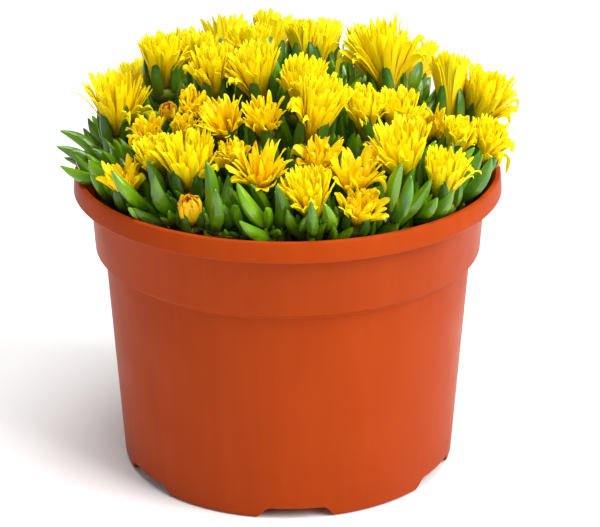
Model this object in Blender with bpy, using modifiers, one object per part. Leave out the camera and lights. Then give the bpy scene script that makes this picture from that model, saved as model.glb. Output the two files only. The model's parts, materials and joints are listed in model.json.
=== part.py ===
"""Potted ice plant: a cushion of fleshy leaves and yellow many-petalled flowers in a nursery pot.

Metres, +Z up. The origin is the middle of the pot's foot, on the surface it stands on.
+X is the viewer's right and +Y points away from the viewer.
"""

import math
import random

import bmesh
import bpy
from mathutils import Quaternion, Vector
from mathutils.bvhtree import BVHTree

MM = 0.001
SEED = 7

# Clearances, and the distance within which two corners are one
GAP = 0.3 * MM
BREATH = 0.5 * MM
WELD = 0.01 * MM

# Pot: a thin moulded wall with a stepped collar, a rolled rim and a raised floor on a foot ring
POT_HEIGHT = 108.9 * MM
RIM_RADIUS = 75.3 * MM
RIM_DEPTH = 7.1 * MM
RIM_MOUTH_RADIUS = 72.4 * MM
RIM_TOP_RADIUS = 73.2 * MM
RIM_TAPER = 0.5 * MM
ROUNDING = 0.8 * MM
WALL = 1.8 * MM
COLLAR_TOP_RADIUS = 69.5 * MM
COLLAR_FOOT_RADIUS = 68.1 * MM
LEDGE_HEIGHT = 78.2 * MM
LEDGE_RISE = 2.0 * MM
BODY_TOP_RADIUS = 64.8 * MM
BODY_FOOT_RADIUS = 59.4 * MM
FOOT_EDGE = 1.4 * MM
FOOT_RING_WIDTH = 2.4 * MM
FLOOR_UNDERSIDE = 5.0 * MM
POT_SIDES = 36
NOTCHES = 6
NOTCH_TURN = math.radians(2.7)
NOTCH_TOP_WIDTH = 20.5 * MM
NOTCH_FOOT_WIDTH = 27.5 * MM
NOTCH_HEIGHT = 4.2 * MM
NOTCH_CUT = 14 * MM
CUT_PAST = 3 * MM
DRAINS = 6
DRAIN_RADIUS = 4.5 * MM
DRAIN_CIRCLE = 40 * MM
ROUND_SIDES = 8

# Soil, and the crowns that the stems grow from
SOIL_TOP = 97 * MM
SOIL_LUMP = 0.7 * MM
SOIL_SIDES = 18
CROWN_RINGS = ((3, 18 * MM, 90), (6, 45 * MM, 30))
CROWN_RADIUS = 4.8 * MM
CROWN_FOOT = 90 * MM
CROWN_TOP = 103 * MM

# The cushion's outline: the height of the flowers' throats over any point of the pot
CUSHION_TOP = 140 * MM
CUSHION_FALL = 5.0
CUSHION_MIDDLE = 15 * MM
REACH_SIDE = 82.5 * MM
REACH_FRONT = 75.0 * MM

# How a flower's own space is parted from its neighbours'
SPINE_FOOT = 8 * MM
SPINE_STEPS = 12
NEAR = 6 * MM
LEAST_SHARE = 0.4
LEAST_SLOPE = 0.02

# Flowers
PETAL_THICKNESS = 0.8 * MM
MOUND = 0.22
SEPALS = 5
SEPAL_THICKNESS = 0.9 * MM
SEPAL_TIP = 0.6 * MM
SEPAL_LENGTH = 9 * MM
CUP_DEPTH = 7.5 * MM
CUP_MARGIN = 2.1 * MM
NECK_RADIUS = 1.8 * MM
RIM_DROP = 1.4 * MM
STEM_RADIUS = 1.5 * MM
KINDS = {
    # petals, throat radius, height and opening of the tube, tips' least share of spread and length
    "fresh": {"petals": 12, "throat": 3.2 * MM, "tube": 0.50, "opening": 0.36, "tip": 0.62},
    "wilted": {"petals": 8, "throat": 2.7 * MM, "tube": 0.42, "opening": 0.28, "tip": 0.40},
    "bud": {"petals": 6, "throat": 1.8 * MM, "tube": 0.50, "opening": 0.75, "tip": 0.35},
}
# Each flower as it stands in the photograph, then those at the back that fill the cushion:
# right and back of the pot's middle, how far it sits under the cushion's outline (mm),
# lean to the right and to the front (degrees), petals' length and spread (mm), kind
BLOOMS = (
    (-60, 9, 3, 0, 6, 20, 12.0, "fresh"),
    (-55, 26, 0, -2, 18, 13, 4.5, "wilted"),
    (-44, 17, -3.5, -4, 0, 17.5, 8.0, "fresh"),
    (-36, 50, 1, -4, -34, 17, 6.5, "fresh"),
    (-22, 46, 2, 1, -40, 17, 9.5, "fresh"),
    (-25, -3, 0, -1, 4, 19, 7.5, "fresh"),
    (-10, -8, 0, -8, 5, 19, 9.0, "fresh"),
    (-7, 46, 2, 9, -36, 18, 7.5, "fresh"),
    (4, -15, 0, 7, 6, 18, 7.5, "fresh"),
    (6, 26, 0, -7, 0, 15, 4.5, "fresh"),
    (14, 55, 2.5, 0, -34, 17, 6.0, "fresh"),
    (35, 10, 0, -9, -4, 24, 12.0, "fresh"),
    (44, 40, 1, 25, -40, 17, 7.5, "wilted"),
    (57, 12, 0, 0, -11, 22, 6.5, "fresh"),
    (67, 16, 0, 12, 6, 21, 11.0, "fresh"),
    (67, -10, 0, 15, 14, 15, 6.5, "fresh"),
    (51, -3, 7, -10, 17, 14, 4.5, "wilted"),
    (57, -15, 0, 11, 13, 12.5, 5.5, "fresh"),
    (52, -39, 0, 0, 9, 16.5, 8.5, "fresh"),
    (38, -14, 4, 0, 9, 16, 8.5, "fresh"),
    (39, -38, 0, -7, 9, 19, 12.0, "fresh"),
    (27, -19, 3, -10, 8, 17, 6.0, "fresh"),
    (8, -30, 0, 16, 8, 22, 8.5, "fresh"),
    (-21, -26, 0, -14, 25, 13.5, 9.0, "wilted"),
    (-8, -28, 0, -6, 15, 14, 6.5, "wilted"),
    (10, -44, 0, 5, 18, 14, 7.5, "wilted"),
    (8, -57, 1.5, -9, 10, 15.5, 9.5, "fresh"),
    (22, -49, 0, -2, 18, 15.5, 9.5, "wilted"),
    (23, -58, 0, 12, 25, 12.5, 7.5, "wilted"),
    (-47, -17, 1.5, -8, 18, 11.5, 6.0, "wilted"),
    (-36, -22, 0, 13, 20, 10, 5.0, "wilted"),
    (-33, -43, 0, 1, 10, 17.5, 11.5, "fresh"),
    (-43, -34, 0, -14, 14, 12.5, 6.5, "fresh"),
    (-54, -37, 0, -12, 18, 13.5, 6.5, "wilted"),
    (-32, -56, 0, -4, 23, 11, 3.2, "bud"),
    (-33, -12, 0, 6, 14, 11, 4.0, "wilted"),
    (-41, -5, 3, -1, 22, 8, 2.6, "bud"),
    (-17, -40, 0, -18, 18, 10.5, 4.5, "wilted"),
    (-9, -49, 0, 1, 20, 15, 10.5, "wilted"),
    (-51, 41, 6, -14, -25, 17, 8.5, "fresh"),
    (-30, 26, 3, -8, -8, 17, 7.5, "fresh"),
    (-13, 24, 3, -4, -8, 17, 7.5, "fresh"),
    (-16, 63, 8, -8, -42, 16, 8.5, "fresh"),
    (28, 43, 3, 8, -24, 17, 7.5, "fresh"),
    (58, 32, 7, 18, -22, 16, 8.0, "fresh"),
    (29, 60, 5, 12, -44, 15, 8.0, "wilted"),
    (11, 41, 4, 2, -14, 16, 6.0, "fresh"),
)

# Leafy shoots that show in the photograph: right, back and height of the lowest leaves (mm),
# lean to the right and to the front (degrees), pairs of leaves
SEEN_SHOOTS = (
    (-60, 3, 106, -72, -4, 3),
    (-60, -11, 106, -68, 16, 3),
    (-44, -40, 104, -32, 12, 3),
    (-25, -58, 104, -16, 8, 3),
    (-3, -58, 104, -28, 12, 3),
    (-12, -37, 104, 2, 2, 2),
    (33, -54, 104, 12, 14, 3),
    (47, -30, 104, 14, 4, 2),
    (62, -26, 104, 12, 4, 3),
    (-39, 50, 111, -8, -18, 2),
)
# The other shoots: how many in each ring, the ring's radius, pairs of leaves on each
SHOOT_RINGS = ((1, 6 * MM, 2), (8, 26 * MM, 2), (13, 43 * MM, 2), (22, 60 * MM, 3))
SHOOT_TURNS = (0, 7, -7)
RIM_LEAN = 43
LEAST_LEAVES = 2
SHOOT_DEPTH = 24 * MM
SHOOT_FLOOR = 102 * MM
TIER = 2.6 * MM
LEAF_LENGTH = 25 * MM
LEAF_WIDTH = 6.6 * MM
LEAF_DEPTH = 4.6 * MM
LEAF_BELLY = 0.4
LEAF_KEEL = 0.3
LEAF_OPENINGS = (56, 37, 18)
LEAST_OPENING = 12
LEAF_TRIES = ((0, 1.0), (-8, 1.0), (8, 1.0), (-16, 0.9), (16, 0.9), (0, 0.75), (-12, 0.7), (12, 0.7), (24, 0.7))


def clear_scene():
    """Remove what the file opened with."""
    for thing in list(bpy.data.objects):
        bpy.data.objects.remove(thing, do_unlink=True)


def new_collection(name):
    collection = bpy.data.collections.new(name)
    bpy.context.scene.collection.children.link(collection)
    return collection


def material(name, colour, roughness):
    """A plain surface: its colour as linear red, green and blue."""
    coat = bpy.data.materials.new(name)
    coat.use_nodes = True
    shader = coat.node_tree.nodes["Principled BSDF"]
    shader.inputs["Base Color"].default_value = (*colour, 1.0)
    shader.inputs["Roughness"].default_value = roughness
    shader.inputs["Metallic"].default_value = 0.0
    return coat


def as_object(name, shape, collection, coat=None):
    """An object from a bmesh, which is used up."""
    mesh = bpy.data.meshes.new(name)
    shape.to_mesh(mesh)
    shape.free()
    body = bpy.data.objects.new(name, mesh)
    collection.objects.link(body)
    if coat:
        mesh.materials.append(coat)
    return body


def settle(body):
    """Keep the shape that a body's modifiers give it, and drop them."""
    bpy.context.view_layer.update()
    graph = bpy.context.evaluated_depsgraph_get()
    mesh = bpy.data.meshes.new_from_object(body.evaluated_get(graph))
    mesh.name = body.name
    body.modifiers.clear()
    body.data = mesh


def turned(name, profile, sides, collection, coat):
    """A closed body turned round the upright axis from points of (radius, height)."""
    mesh = bpy.data.meshes.new(name)
    edges = [(place, place + 1) for place in range(len(profile) - 1)]
    mesh.from_pydata([(radius, 0, height) for radius, height in profile], edges, [])
    body = bpy.data.objects.new(name, mesh)
    collection.objects.link(body)
    screw = body.modifiers.new("turn", "SCREW")
    screw.steps = sides
    screw.render_steps = sides
    screw.use_merge_vertices = True
    screw.merge_threshold = WELD
    settle(body)
    body.data.materials.append(coat)
    return body


def cut(body, name, cutters):
    """Take a collection of cutters out of a body."""
    for cutter in cutters.objects:
        cutter.hide_render = True
        cutter.display_type = "WIRE"
    boolean = body.modifiers.new(name, "BOOLEAN")
    boolean.operation = "DIFFERENCE"
    boolean.operand_type = "COLLECTION"
    boolean.collection = cutters


def on_circle(radius, bearing, height=0.0):
    return Vector((radius * math.cos(bearing), radius * math.sin(bearing), height))


def drum(radius, low, high, sides, centre):
    """An upright cylinder between two heights."""
    shape = bmesh.new()
    bmesh.ops.create_cone(
        shape, cap_ends=True, segments=sides, radius1=radius, radius2=radius, depth=high - low)
    bmesh.ops.translate(shape, verts=shape.verts, vec=(centre.x, centre.y, (low + high) / 2))
    return shape


def pot_profile():
    """Inner floor, inner wall, rim, outer wall and foot, as (radius, height)."""
    skirt_foot = POT_HEIGHT - RIM_DEPTH
    floor = FLOOR_UNDERSIDE + WALL
    return [
        (0, floor),
        (BODY_FOOT_RADIUS - WALL - 1.2 * MM, floor),
        (BODY_FOOT_RADIUS - WALL + 0.2 * MM, floor + 1.4 * MM),
        (BODY_TOP_RADIUS - WALL, LEDGE_HEIGHT - ROUNDING),
        (COLLAR_FOOT_RADIUS - WALL, LEDGE_HEIGHT + LEDGE_RISE + 0.4 * MM),
        (COLLAR_TOP_RADIUS - WALL, skirt_foot - 0.6 * MM),
        (RIM_MOUTH_RADIUS, POT_HEIGHT - ROUNDING),
        (RIM_TOP_RADIUS, POT_HEIGHT),
        (RIM_RADIUS - RIM_TAPER - ROUNDING, POT_HEIGHT),
        (RIM_RADIUS - RIM_TAPER, POT_HEIGHT - 0.9 * MM),
        (RIM_RADIUS, skirt_foot),
        (RIM_RADIUS - WALL, skirt_foot),
        (RIM_RADIUS - WALL - 0.3 * MM, POT_HEIGHT - 3.6 * MM),
        (COLLAR_TOP_RADIUS, skirt_foot - 1.0 * MM),
        (COLLAR_FOOT_RADIUS, LEDGE_HEIGHT + LEDGE_RISE),
        (BODY_TOP_RADIUS, LEDGE_HEIGHT),
        (BODY_FOOT_RADIUS, FOOT_EDGE),
        (BODY_FOOT_RADIUS - FOOT_EDGE, 0),
        (BODY_FOOT_RADIUS - FOOT_EDGE - FOOT_RING_WIDTH, 0),
        (BODY_FOOT_RADIUS - FOOT_EDGE - FOOT_RING_WIDTH, FLOOR_UNDERSIDE),
        (0, FLOOR_UNDERSIDE),
    ]


def notch_cutter(number, bearing, cutters):
    """A wedge, wider at its foot, that opens the foot ring."""
    shape = bmesh.new()
    bmesh.ops.create_cube(shape, size=1.0)
    slope = (NOTCH_FOOT_WIDTH - NOTCH_TOP_WIDTH) / NOTCH_HEIGHT / 2
    half_foot = NOTCH_FOOT_WIDTH / 2 + slope * CUT_PAST
    for vert in shape.verts:
        at_foot = vert.co.z < 0
        half = half_foot if at_foot else NOTCH_TOP_WIDTH / 2
        vert.co.x = vert.co.x * NOTCH_CUT + BODY_FOOT_RADIUS - 1 * MM
        vert.co.y = math.copysign(half, vert.co.y)
        vert.co.z = -CUT_PAST if at_foot else NOTCH_HEIGHT
    wedge = as_object(f"notch_{number}", shape, cutters)
    wedge.rotation_euler.z = bearing


def make_pot(parts, coat):
    cutters = new_collection("pot_cutters")
    for number in range(NOTCHES):
        bearing = math.radians(-90) + NOTCH_TURN + math.tau * number / NOTCHES
        notch_cutter(number, bearing, cutters)
    for number in range(DRAINS):
        bearing = math.radians(-60) + NOTCH_TURN + math.tau * number / DRAINS
        hole = drum(DRAIN_RADIUS, FLOOR_UNDERSIDE - 2 * MM, FLOOR_UNDERSIDE + 4 * MM, ROUND_SIDES,
                    on_circle(DRAIN_CIRCLE, bearing))
        as_object(f"drain_{number}", hole, cutters)
    pot = turned("pot", pot_profile(), POT_SIDES, parts, coat)
    cut(pot, "notches_and_drains", cutters)
    settle(pot)
    return pot


def crowns():
    """Where each clump comes out of the soil, over the whole pot."""
    places = []
    for count, radius, start in CROWN_RINGS:
        for number in range(count):
            places.append(on_circle(radius, math.radians(start) + math.tau * number / count))
    return places


def make_soil(parts, coat, places):
    """The compost: it fills the pot, its top is lumpy, and each crown has a hole."""
    floor = FLOOR_UNDERSIDE + WALL + GAP
    side = WALL + 2 * GAP
    profile = [
        (0, SOIL_TOP),
        (24 * MM, SOIL_TOP + 0.5 * MM),
        (48 * MM, SOIL_TOP),
        (COLLAR_TOP_RADIUS - side - 0.8 * MM, SOIL_TOP - 1 * MM),
        (COLLAR_FOOT_RADIUS - side, LEDGE_HEIGHT + LEDGE_RISE + 1 * MM),
        (BODY_TOP_RADIUS - side, LEDGE_HEIGHT - 1.2 * MM),
        (BODY_FOOT_RADIUS - side - 0.4 * MM, floor + 2 * MM),
        (BODY_FOOT_RADIUS - side - 2 * MM, floor),
        (0, floor),
    ]
    soil = turned("soil", profile, SOIL_SIDES, parts, coat)
    lumps = random.Random(SEED)
    for vert in soil.data.vertices:
        if vert.co.z > SOIL_TOP - 0.5 * MM:
            vert.co.z += lumps.uniform(-SOIL_LUMP, SOIL_LUMP)
    cutters = new_collection("soil_cutters")
    for number, place in enumerate(places):
        hole = drum(CROWN_RADIUS + GAP, CROWN_FOOT - GAP, CROWN_TOP, ROUND_SIDES, place)
        as_object(f"crown_hole_{number}", hole, cutters)
    cut(soil, "crown_holes", cutters)
    settle(soil)
    return soil


def cushion_height(right, back):
    """Height of the flowers' throats over a point of the pot."""
    return CUSHION_TOP - CUSHION_FALL * (right ** 2 + (back - CUSHION_MIDDLE) ** 2)


def read_bloom(row):
    """A flower's throat, axes and sizes from its row of the table."""
    right, back, sink, lean_right, lean_front, length, spread, kind = row
    axis = Vector((math.tan(math.radians(lean_right)), -math.tan(math.radians(lean_front)), 1)).normalized()
    side = axis.orthogonal().normalized()
    return {
        "throat": Vector((right * MM, back * MM, cushion_height(right * MM, back * MM) - sink * MM)),
        "axis": axis,
        "side": side,
        "other": axis.cross(side),
        "length": length * MM,
        "spread": spread * MM,
        "kind": kind,
        "scale": KINDS[kind]["throat"] / KINDS["fresh"]["throat"],
        "walls": [],
    }


def at(bloom, radius, bearing, height):
    """A point of a flower, in turns round its axis and up it."""
    across = bloom["side"] * math.cos(bearing) + bloom["other"] * math.sin(bearing)
    return bloom["throat"] + bloom["axis"] * height + across * radius


def spine(bloom):
    """Stations down a flower's axis, from the foot of its cup to its tips."""
    foot = -SPINE_FOOT * bloom["scale"]
    return [
        bloom["throat"] + bloom["axis"] * (foot + (bloom["length"] - foot) * step / SPINE_STEPS)
        for step in range(SPINE_STEPS + 1)
    ]


def part_neighbours(blooms):
    """Give each pair of near flowers a plane between them that neither crosses."""
    for number, one in enumerate(blooms):
        for other in blooms[number + 1:]:
            span, first, second = min(
                (((a - b).length, a, b) for a in spine(one) for b in spine(other)),
                key=lambda found: found[0])
            if span > one["spread"] + other["spread"] + NEAR:
                continue
            share = one["spread"] / (one["spread"] + other["spread"])
            share = min(1 - LEAST_SHARE, max(LEAST_SHARE, share))
            point = first.lerp(second, share)
            normal = (second - first).normalized()
            one["walls"].append((point, normal))
            other["walls"].append((point, -normal))


def add_outer_walls(blooms):
    """Keep the cushion within its reach to the sides and to the front and back."""
    for bloom in blooms:
        for direction, reach in ((Vector((1, 0, 0)), REACH_SIDE), (Vector((0, 1, 0)), REACH_FRONT)):
            bloom["walls"].append((direction * reach, direction))
            bloom["walls"].append((direction * -reach, -direction))


def room(bloom, bearing, height, margin):
    """How far from the axis a point may stand on one side and stay in the flower's own space."""
    foot = at(bloom, 0, 0, height)
    across = at(bloom, 1, bearing, height) - foot
    most = 1.0
    for point, normal in bloom["walls"]:
        slope = normal.dot(across)
        if slope > LEAST_SLOPE:
            most = min(most, ((point - foot).dot(normal) - margin) / slope)
    return most


def fitted(bloom, radius, bearing, height, margin):
    """A point of a flower, bent in towards its axis where a neighbour is near."""
    return at(bloom, min(radius, room(bloom, bearing, height, margin)), bearing, height)


def open_cup(sides):
    """A flat disc of triangles, to be drawn up into a cup."""
    shape = bmesh.new()
    bmesh.ops.create_circle(shape, cap_ends=True, cap_tris=True, segments=sides, radius=1.0)
    return shape


def rim_edges(shape):
    return [edge for edge in shape.edges if edge.is_boundary]


def bearing_of(vert):
    return math.atan2(vert.co.y, vert.co.x)


def thickened(name, shape, thickness, parts, coat):
    """Give an open sheet its thickness, half to each side."""
    bmesh.ops.recalc_face_normals(shape, faces=shape.faces)
    body = as_object(name, shape, parts, coat)
    solidify = body.modifiers.new("thickness", "SOLIDIFY")
    solidify.thickness = thickness
    solidify.offset = 0.0
    settle(body)
    return body


def petal_tip(bloom, odd, draw):
    """Radius and height of one petal's tip."""
    if bloom["kind"] == "wilted":
        return bloom["spread"] * draw.uniform(0.55, 1.0), bloom["length"] * draw.uniform(0.6, 1.0)
    if bloom["kind"] == "bud":
        return bloom["spread"] * 0.45, bloom["length"] * draw.uniform(0.88, 1.0)
    if odd:
        return bloom["spread"] * draw.uniform(0.55, 0.66), bloom["length"] * draw.uniform(0.94, 1.0)
    return bloom["spread"] * draw.uniform(0.9, 1.0), bloom["length"] * draw.uniform(0.84, 0.93)


def make_bloom(name, bloom, draw, parts, coat):
    """The yellow of one flower: a mound of stamens in a tube that parts into petals."""
    kind = KINDS[bloom["kind"]]
    count = kind["petals"]
    half_step = math.pi / count
    tube_height = bloom["length"] * kind["tube"]
    tube_radius = kind["throat"] + kind["opening"] * (bloom["spread"] - kind["throat"])
    margin = PETAL_THICKNESS / 2 + GAP
    inner_margin = margin + SEPAL_THICKNESS + 2 * GAP
    shape = open_cup(count)
    wall = bmesh.ops.extrude_edge_only(shape, edges=rim_edges(shape))["geom"]
    placed = {}
    for vert in (piece for piece in wall if isinstance(piece, bmesh.types.BMVert)):
        placed[vert] = fitted(bloom, tube_radius, bearing_of(vert), tube_height, inner_margin)
    for edge in rim_edges(shape):
        middle = (edge.verts[0].co + edge.verts[1].co) / 2
        bearing = math.atan2(middle.y, middle.x)
        odd = round((bearing / half_step - 1) / 2) % 2
        radius, height = petal_tip(bloom, odd, draw)
        grown = bmesh.ops.extrude_edge_only(shape, edges=[edge])["geom"]
        for vert in (piece for piece in grown if isinstance(piece, bmesh.types.BMVert)):
            turn = math.remainder(bearing_of(vert) - bearing, math.tau) * kind["tip"]
            placed[vert] = fitted(bloom, radius, bearing + turn, height, margin)
    for vert in shape.verts:
        if vert not in placed:
            centre = vert.co.length < 0.5
            rise = MOUND * bloom["length"] if centre else 0.0
            placed[vert] = at(bloom, 0 if centre else kind["throat"], bearing_of(vert), rise)
    for vert, point in placed.items():
        vert.co = point
    return thickened(name, shape, PETAL_THICKNESS, parts, coat)


def ball(sides, steps, flat_foot=False):
    """A ball of few faces, cut flat below its first ring where asked."""
    shape = bmesh.new()
    bmesh.ops.create_uvsphere(shape, u_segments=sides, v_segments=steps, radius=1.0)
    if flat_foot:
        bmesh.ops.dissolve_verts(shape, verts=[vert for vert in shape.verts if vert.co.z > 0.999])
    return shape


def station_of(vert, steps):
    """Which ring of the ball a point is in, counted from its upper pole."""
    return round(math.acos(max(-1.0, min(1.0, vert.co.z))) / math.pi * steps)


def drawn_out(sides, stations):
    """A closed body drawn through stations, each a middle and two half widths across.

    It ends in a point, and starts in one where its first station has no width.
    """
    flat_foot = stations[0][1].length > 0
    steps = len(stations) - (0 if flat_foot else 1)
    shape = ball(sides, steps, flat_foot)
    for vert in shape.verts:
        middle, wide, deep = stations[station_of(vert, steps) - (1 if flat_foot else 0)]
        bearing = bearing_of(vert)
        vert.co = middle + wide * math.sin(bearing) + deep * math.cos(bearing)
    return closed(shape)


def closed(shape):
    bmesh.ops.recalc_face_normals(shape, faces=shape.faces)
    bmesh.ops.triangulate(shape, faces=shape.faces)
    return shape


def stem_foot(crown, head):
    """Where a stem starts, inside its crown on the side it leaves by."""
    foot = Vector((crown.x, crown.y, CROWN_TOP - 2.4 * MM))
    away = Vector((head.x - crown.x, head.y - crown.y, 0))
    if away.length > 1 * MM:
        foot += away.normalized() * CROWN_RADIUS * 0.4
    return foot


def cup_sizes(bloom):
    """Radius of a cup's rim, height of its sepals and the radius of their tips."""
    kind = KINDS[bloom["kind"]]
    tube_height = bloom["length"] * kind["tube"]
    sepal_height = min(SEPAL_LENGTH, 0.8 * tube_height)
    tube_radius = kind["throat"] + kind["opening"] * (bloom["spread"] - kind["throat"])
    at_sepal = kind["throat"] + (tube_radius - kind["throat"]) * sepal_height / tube_height
    tip_radius = at_sepal + PETAL_THICKNESS / 2 + SEPAL_THICKNESS / 2 + 3 * GAP
    return kind["throat"] + CUP_MARGIN, sepal_height, tip_radius


def make_cup(bloom, crown):
    """A flower's stem and the cup on it, with its sepals standing against the petals."""
    rim, sepal_height, tip_radius = cup_sizes(bloom)
    neck = at(bloom, 0, 0, -CUP_DEPTH * bloom["scale"])
    foot = stem_foot(crown, neck)
    along = (neck - foot).normalized()
    across = (bloom["side"] - along * bloom["side"].dot(along)).normalized()
    other = along.cross(across)
    rings = {
        2: (NECK_RADIUS, -CUP_DEPTH * bloom["scale"], SEPAL_THICKNESS),
        3: (rim, -RIM_DROP, 0),
        4: (rim - SEPAL_THICKNESS, -1.0 * MM, SEPAL_THICKNESS),
        5: (0, -1.2 * MM, 0),
    }
    steps = len(rings) + 1
    shape = ball(SEPALS, steps, flat_foot=True)
    lip = [face for face in shape.faces if {station_of(vert, steps) for vert in face.verts} == {3, 4}]
    placed = {}
    for face in bmesh.ops.extrude_discrete_faces(shape, faces=lip)["faces"]:
        middle = face.calc_center_median()
        bearing = math.atan2(middle.y, middle.x)
        for vert in face.verts:
            inside = 0 if station_of(vert, steps) == 3 else SEPAL_TIP
            radius = tip_radius + SEPAL_TIP / 2 - inside
            placed[vert] = fitted(bloom, radius, bearing, sepal_height, GAP + inside)
    for vert in shape.verts:
        station = station_of(vert, steps)
        if vert in placed:
            continue
        bearing = bearing_of(vert)
        if station == 1:
            placed[vert] = foot + (across * math.cos(bearing) + other * math.sin(bearing)) * STEM_RADIUS
        else:
            radius, height, inside = rings[station]
            placed[vert] = fitted(bloom, radius, bearing, height, GAP + inside)
    for vert, point in placed.items():
        vert.co = point
    bmesh.ops.remove_doubles(shape, verts=shape.verts, dist=WELD)
    return closed(shape)


def leaf_point(leaf, share, wide, deep):
    """A point of a leaf: its share of the length, and how far across and below its flat face."""
    return (leaf["root"] + leaf["forward"] * leaf["length"] * share
            + leaf["inward"] * (leaf["bend"] * share ** 2 - deep) + leaf["across"] * wide)


def leaf_guard(leaf, start, spare):
    """A body a little fatter than a leaf, to test the room for it."""
    stations = []
    for share, fullness in ((start, 0.7), (LEAF_BELLY, 1.0)):
        half = leaf["width"] / 2 * fullness + spare
        height = leaf["depth"] * fullness * 1.3 + spare
        middle = leaf_point(leaf, share, 0, height / 3 - spare / 2)
        stations.append((middle, leaf["across"] * half / math.sin(math.tau / 3), leaf["inward"] * -height / 1.5))
    stations.append((leaf_point(leaf, 1 + spare / leaf["length"], 0, 0), Vector(), Vector()))
    return drawn_out(3, stations)


def raise_face(shape, face):
    """Extrude a face by itself and return the new one."""
    return bmesh.ops.extrude_discrete_faces(shape, faces=[face])["faces"][0]


def draw_leaf(shape, face, leaf):
    """Draw a face of the stem out into a fleshy leaf, flat above and keeled below."""
    centre = face.calc_center_median()
    belly = raise_face(shape, face)
    belly_corners = list(belly.verts)
    tip = raise_face(shape, belly)
    for vert in belly_corners:
        right = math.copysign(1, (vert.co - centre).dot(leaf["across"]))
        below = (vert.co - centre).dot(leaf["inward"]) < 0
        wide = leaf["width"] / 2 * (LEAF_KEEL if below else 1) * right
        vert.co = leaf_point(leaf, LEAF_BELLY, wide, leaf["depth"] if below else 0)
    for vert in tip.verts:
        vert.co = leaf_point(leaf, 1.0, 0, 0)


def make_shoot(crown, spot, axis, level, tiers):
    """A square stem from its crown, drawn out tier by tier into opposite leaves."""
    third = axis.cross(level)
    foot = stem_foot(crown, spot)
    shape = bmesh.new()
    bmesh.ops.create_cube(shape, size=2.0)
    for vert in shape.verts:
        middle = spot if vert.co.z > 0 else foot
        vert.co = middle + level * STEM_RADIUS * vert.co.x + third * STEM_RADIUS * vert.co.y
    top = max(shape.faces, key=lambda face: (face.calc_center_median() - spot).dot(axis))
    for tier in tiers:
        centre = top.calc_center_median() + axis * TIER / 2
        top = raise_face(shape, top)
        bmesh.ops.translate(shape, verts=top.verts, vec=axis * TIER)
        sides = [face for edge in top.edges for face in edge.link_faces if face is not top]
        for leaf in tier:
            way = leaf["forward"] - axis * leaf["forward"].dot(axis)
            face = max(sides, key=lambda side: (side.calc_center_median() - centre).dot(way))
            draw_leaf(shape, face, leaf)
            sides.remove(face)
    bmesh.ops.remove_doubles(shape, verts=shape.verts, dist=WELD)
    return closed(shape)


def stem_guard(crown, spot, axis, tiers):
    """A body a little fatter than a shoot's stem."""
    foot = stem_foot(crown, spot)
    head = spot + axis * (TIER * tiers + BREATH)
    stations = []
    for middle in (foot, spot):
        across = axis.orthogonal().normalized() * (STEM_RADIUS * 1.42 + BREATH)
        stations.append((middle, across, axis.cross(across)))
    stations.append((head, *(half * 0.9 for half in stations[-1][1:])))
    stations.append((head, Vector(), Vector()))
    return drawn_out(4, stations)


def entry(tree_shape, owner):
    """A placed body as the clearance test keeps it: its box, its surface and whose it is."""
    points = [vert.co for vert in tree_shape.verts]
    low = Vector([min(point[axis] for point in points) for axis in range(3)])
    high = Vector([max(point[axis] for point in points) for axis in range(3)])
    return low, high, BVHTree.FromBMesh(tree_shape), owner


def entry_of(body, owner):
    shape = bmesh.new()
    shape.from_mesh(body.data)
    made = entry(shape, owner)
    shape.free()
    return made


def touches(one, other):
    for axis in range(3):
        if one[0][axis] > other[1][axis] or other[0][axis] > one[1][axis]:
            return False
    return bool(one[2].overlap(other[2]))


def is_clear(candidate, placed, owner=None):
    """Whether a body keeps off all that is placed, or off all but its own clump."""
    return not any(touches(candidate, other) for other in placed if owner is None or other[3] != owner)


def nearest(places, point):
    return min(range(len(places)), key=lambda number: (places[number].xy - point.xy).length)


def leaning(right, front):
    """An upright axis leant to the right and to the front by so many degrees."""
    return Vector((math.tan(math.radians(right)), -math.tan(math.radians(front)), 1)).normalized()


def outward_axis(spot, tilt_right, tilt_front):
    """A shoot leans outwards more the nearer it stands to the rim."""
    lean = RIM_LEAN * (spot.xy.length / RIM_RADIUS) ** 2
    return leaning(lean * spot.x / RIM_RADIUS + tilt_right, -lean * spot.y / RIM_RADIUS + tilt_front)


def shoot_plans(draw):
    """Every shoot: the ways it may stand, each a spot and an axis, and its pairs of leaves."""
    plans = []
    for right, back, height, lean_right, lean_front, pairs in SEEN_SHOOTS:
        plans.append(([(Vector((right, back, height)) * MM, leaning(lean_right, lean_front))], pairs))
    for count, radius, pairs in SHOOT_RINGS:
        start = draw.uniform(0, math.tau)
        for number in range(count):
            bearing = start + math.tau * (number + draw.uniform(-0.2, 0.2)) / count
            reach = radius + draw.uniform(-2, 2) * MM
            tilt = draw.uniform(-6, 6), draw.uniform(-6, 6)
            ways = []
            for change in SHOOT_TURNS:
                spot = on_circle(reach, bearing + math.radians(change))
                spot.z = max(SHOOT_FLOOR, cushion_height(spot.x, spot.y) - SHOOT_DEPTH)
                ways.append((spot, outward_axis(spot, *tilt)))
            plans.append((ways, pairs))
    return plans


def leaf_candidate(node, axis, side, opening, share):
    """A leaf from a shoot's node, opened from the shoot's axis."""
    forward = (axis * math.cos(opening) + side * math.sin(opening)).normalized()
    inward = (axis * math.sin(opening) - side * math.cos(opening)).normalized()
    length = LEAF_LENGTH * share
    return {"root": node, "forward": forward, "inward": inward, "across": forward.cross(inward),
            "length": length, "width": LEAF_WIDTH * share ** 0.5, "depth": LEAF_DEPTH * share ** 0.5,
            "bend": min(0.14, 0.4 * math.sin(opening)) * length}


def within_reach(candidate):
    low, high = candidate[0], candidate[1]
    return (-REACH_SIDE < low.x and high.x < REACH_SIDE
            and -REACH_FRONT < low.y and high.y < REACH_FRONT)


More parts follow.
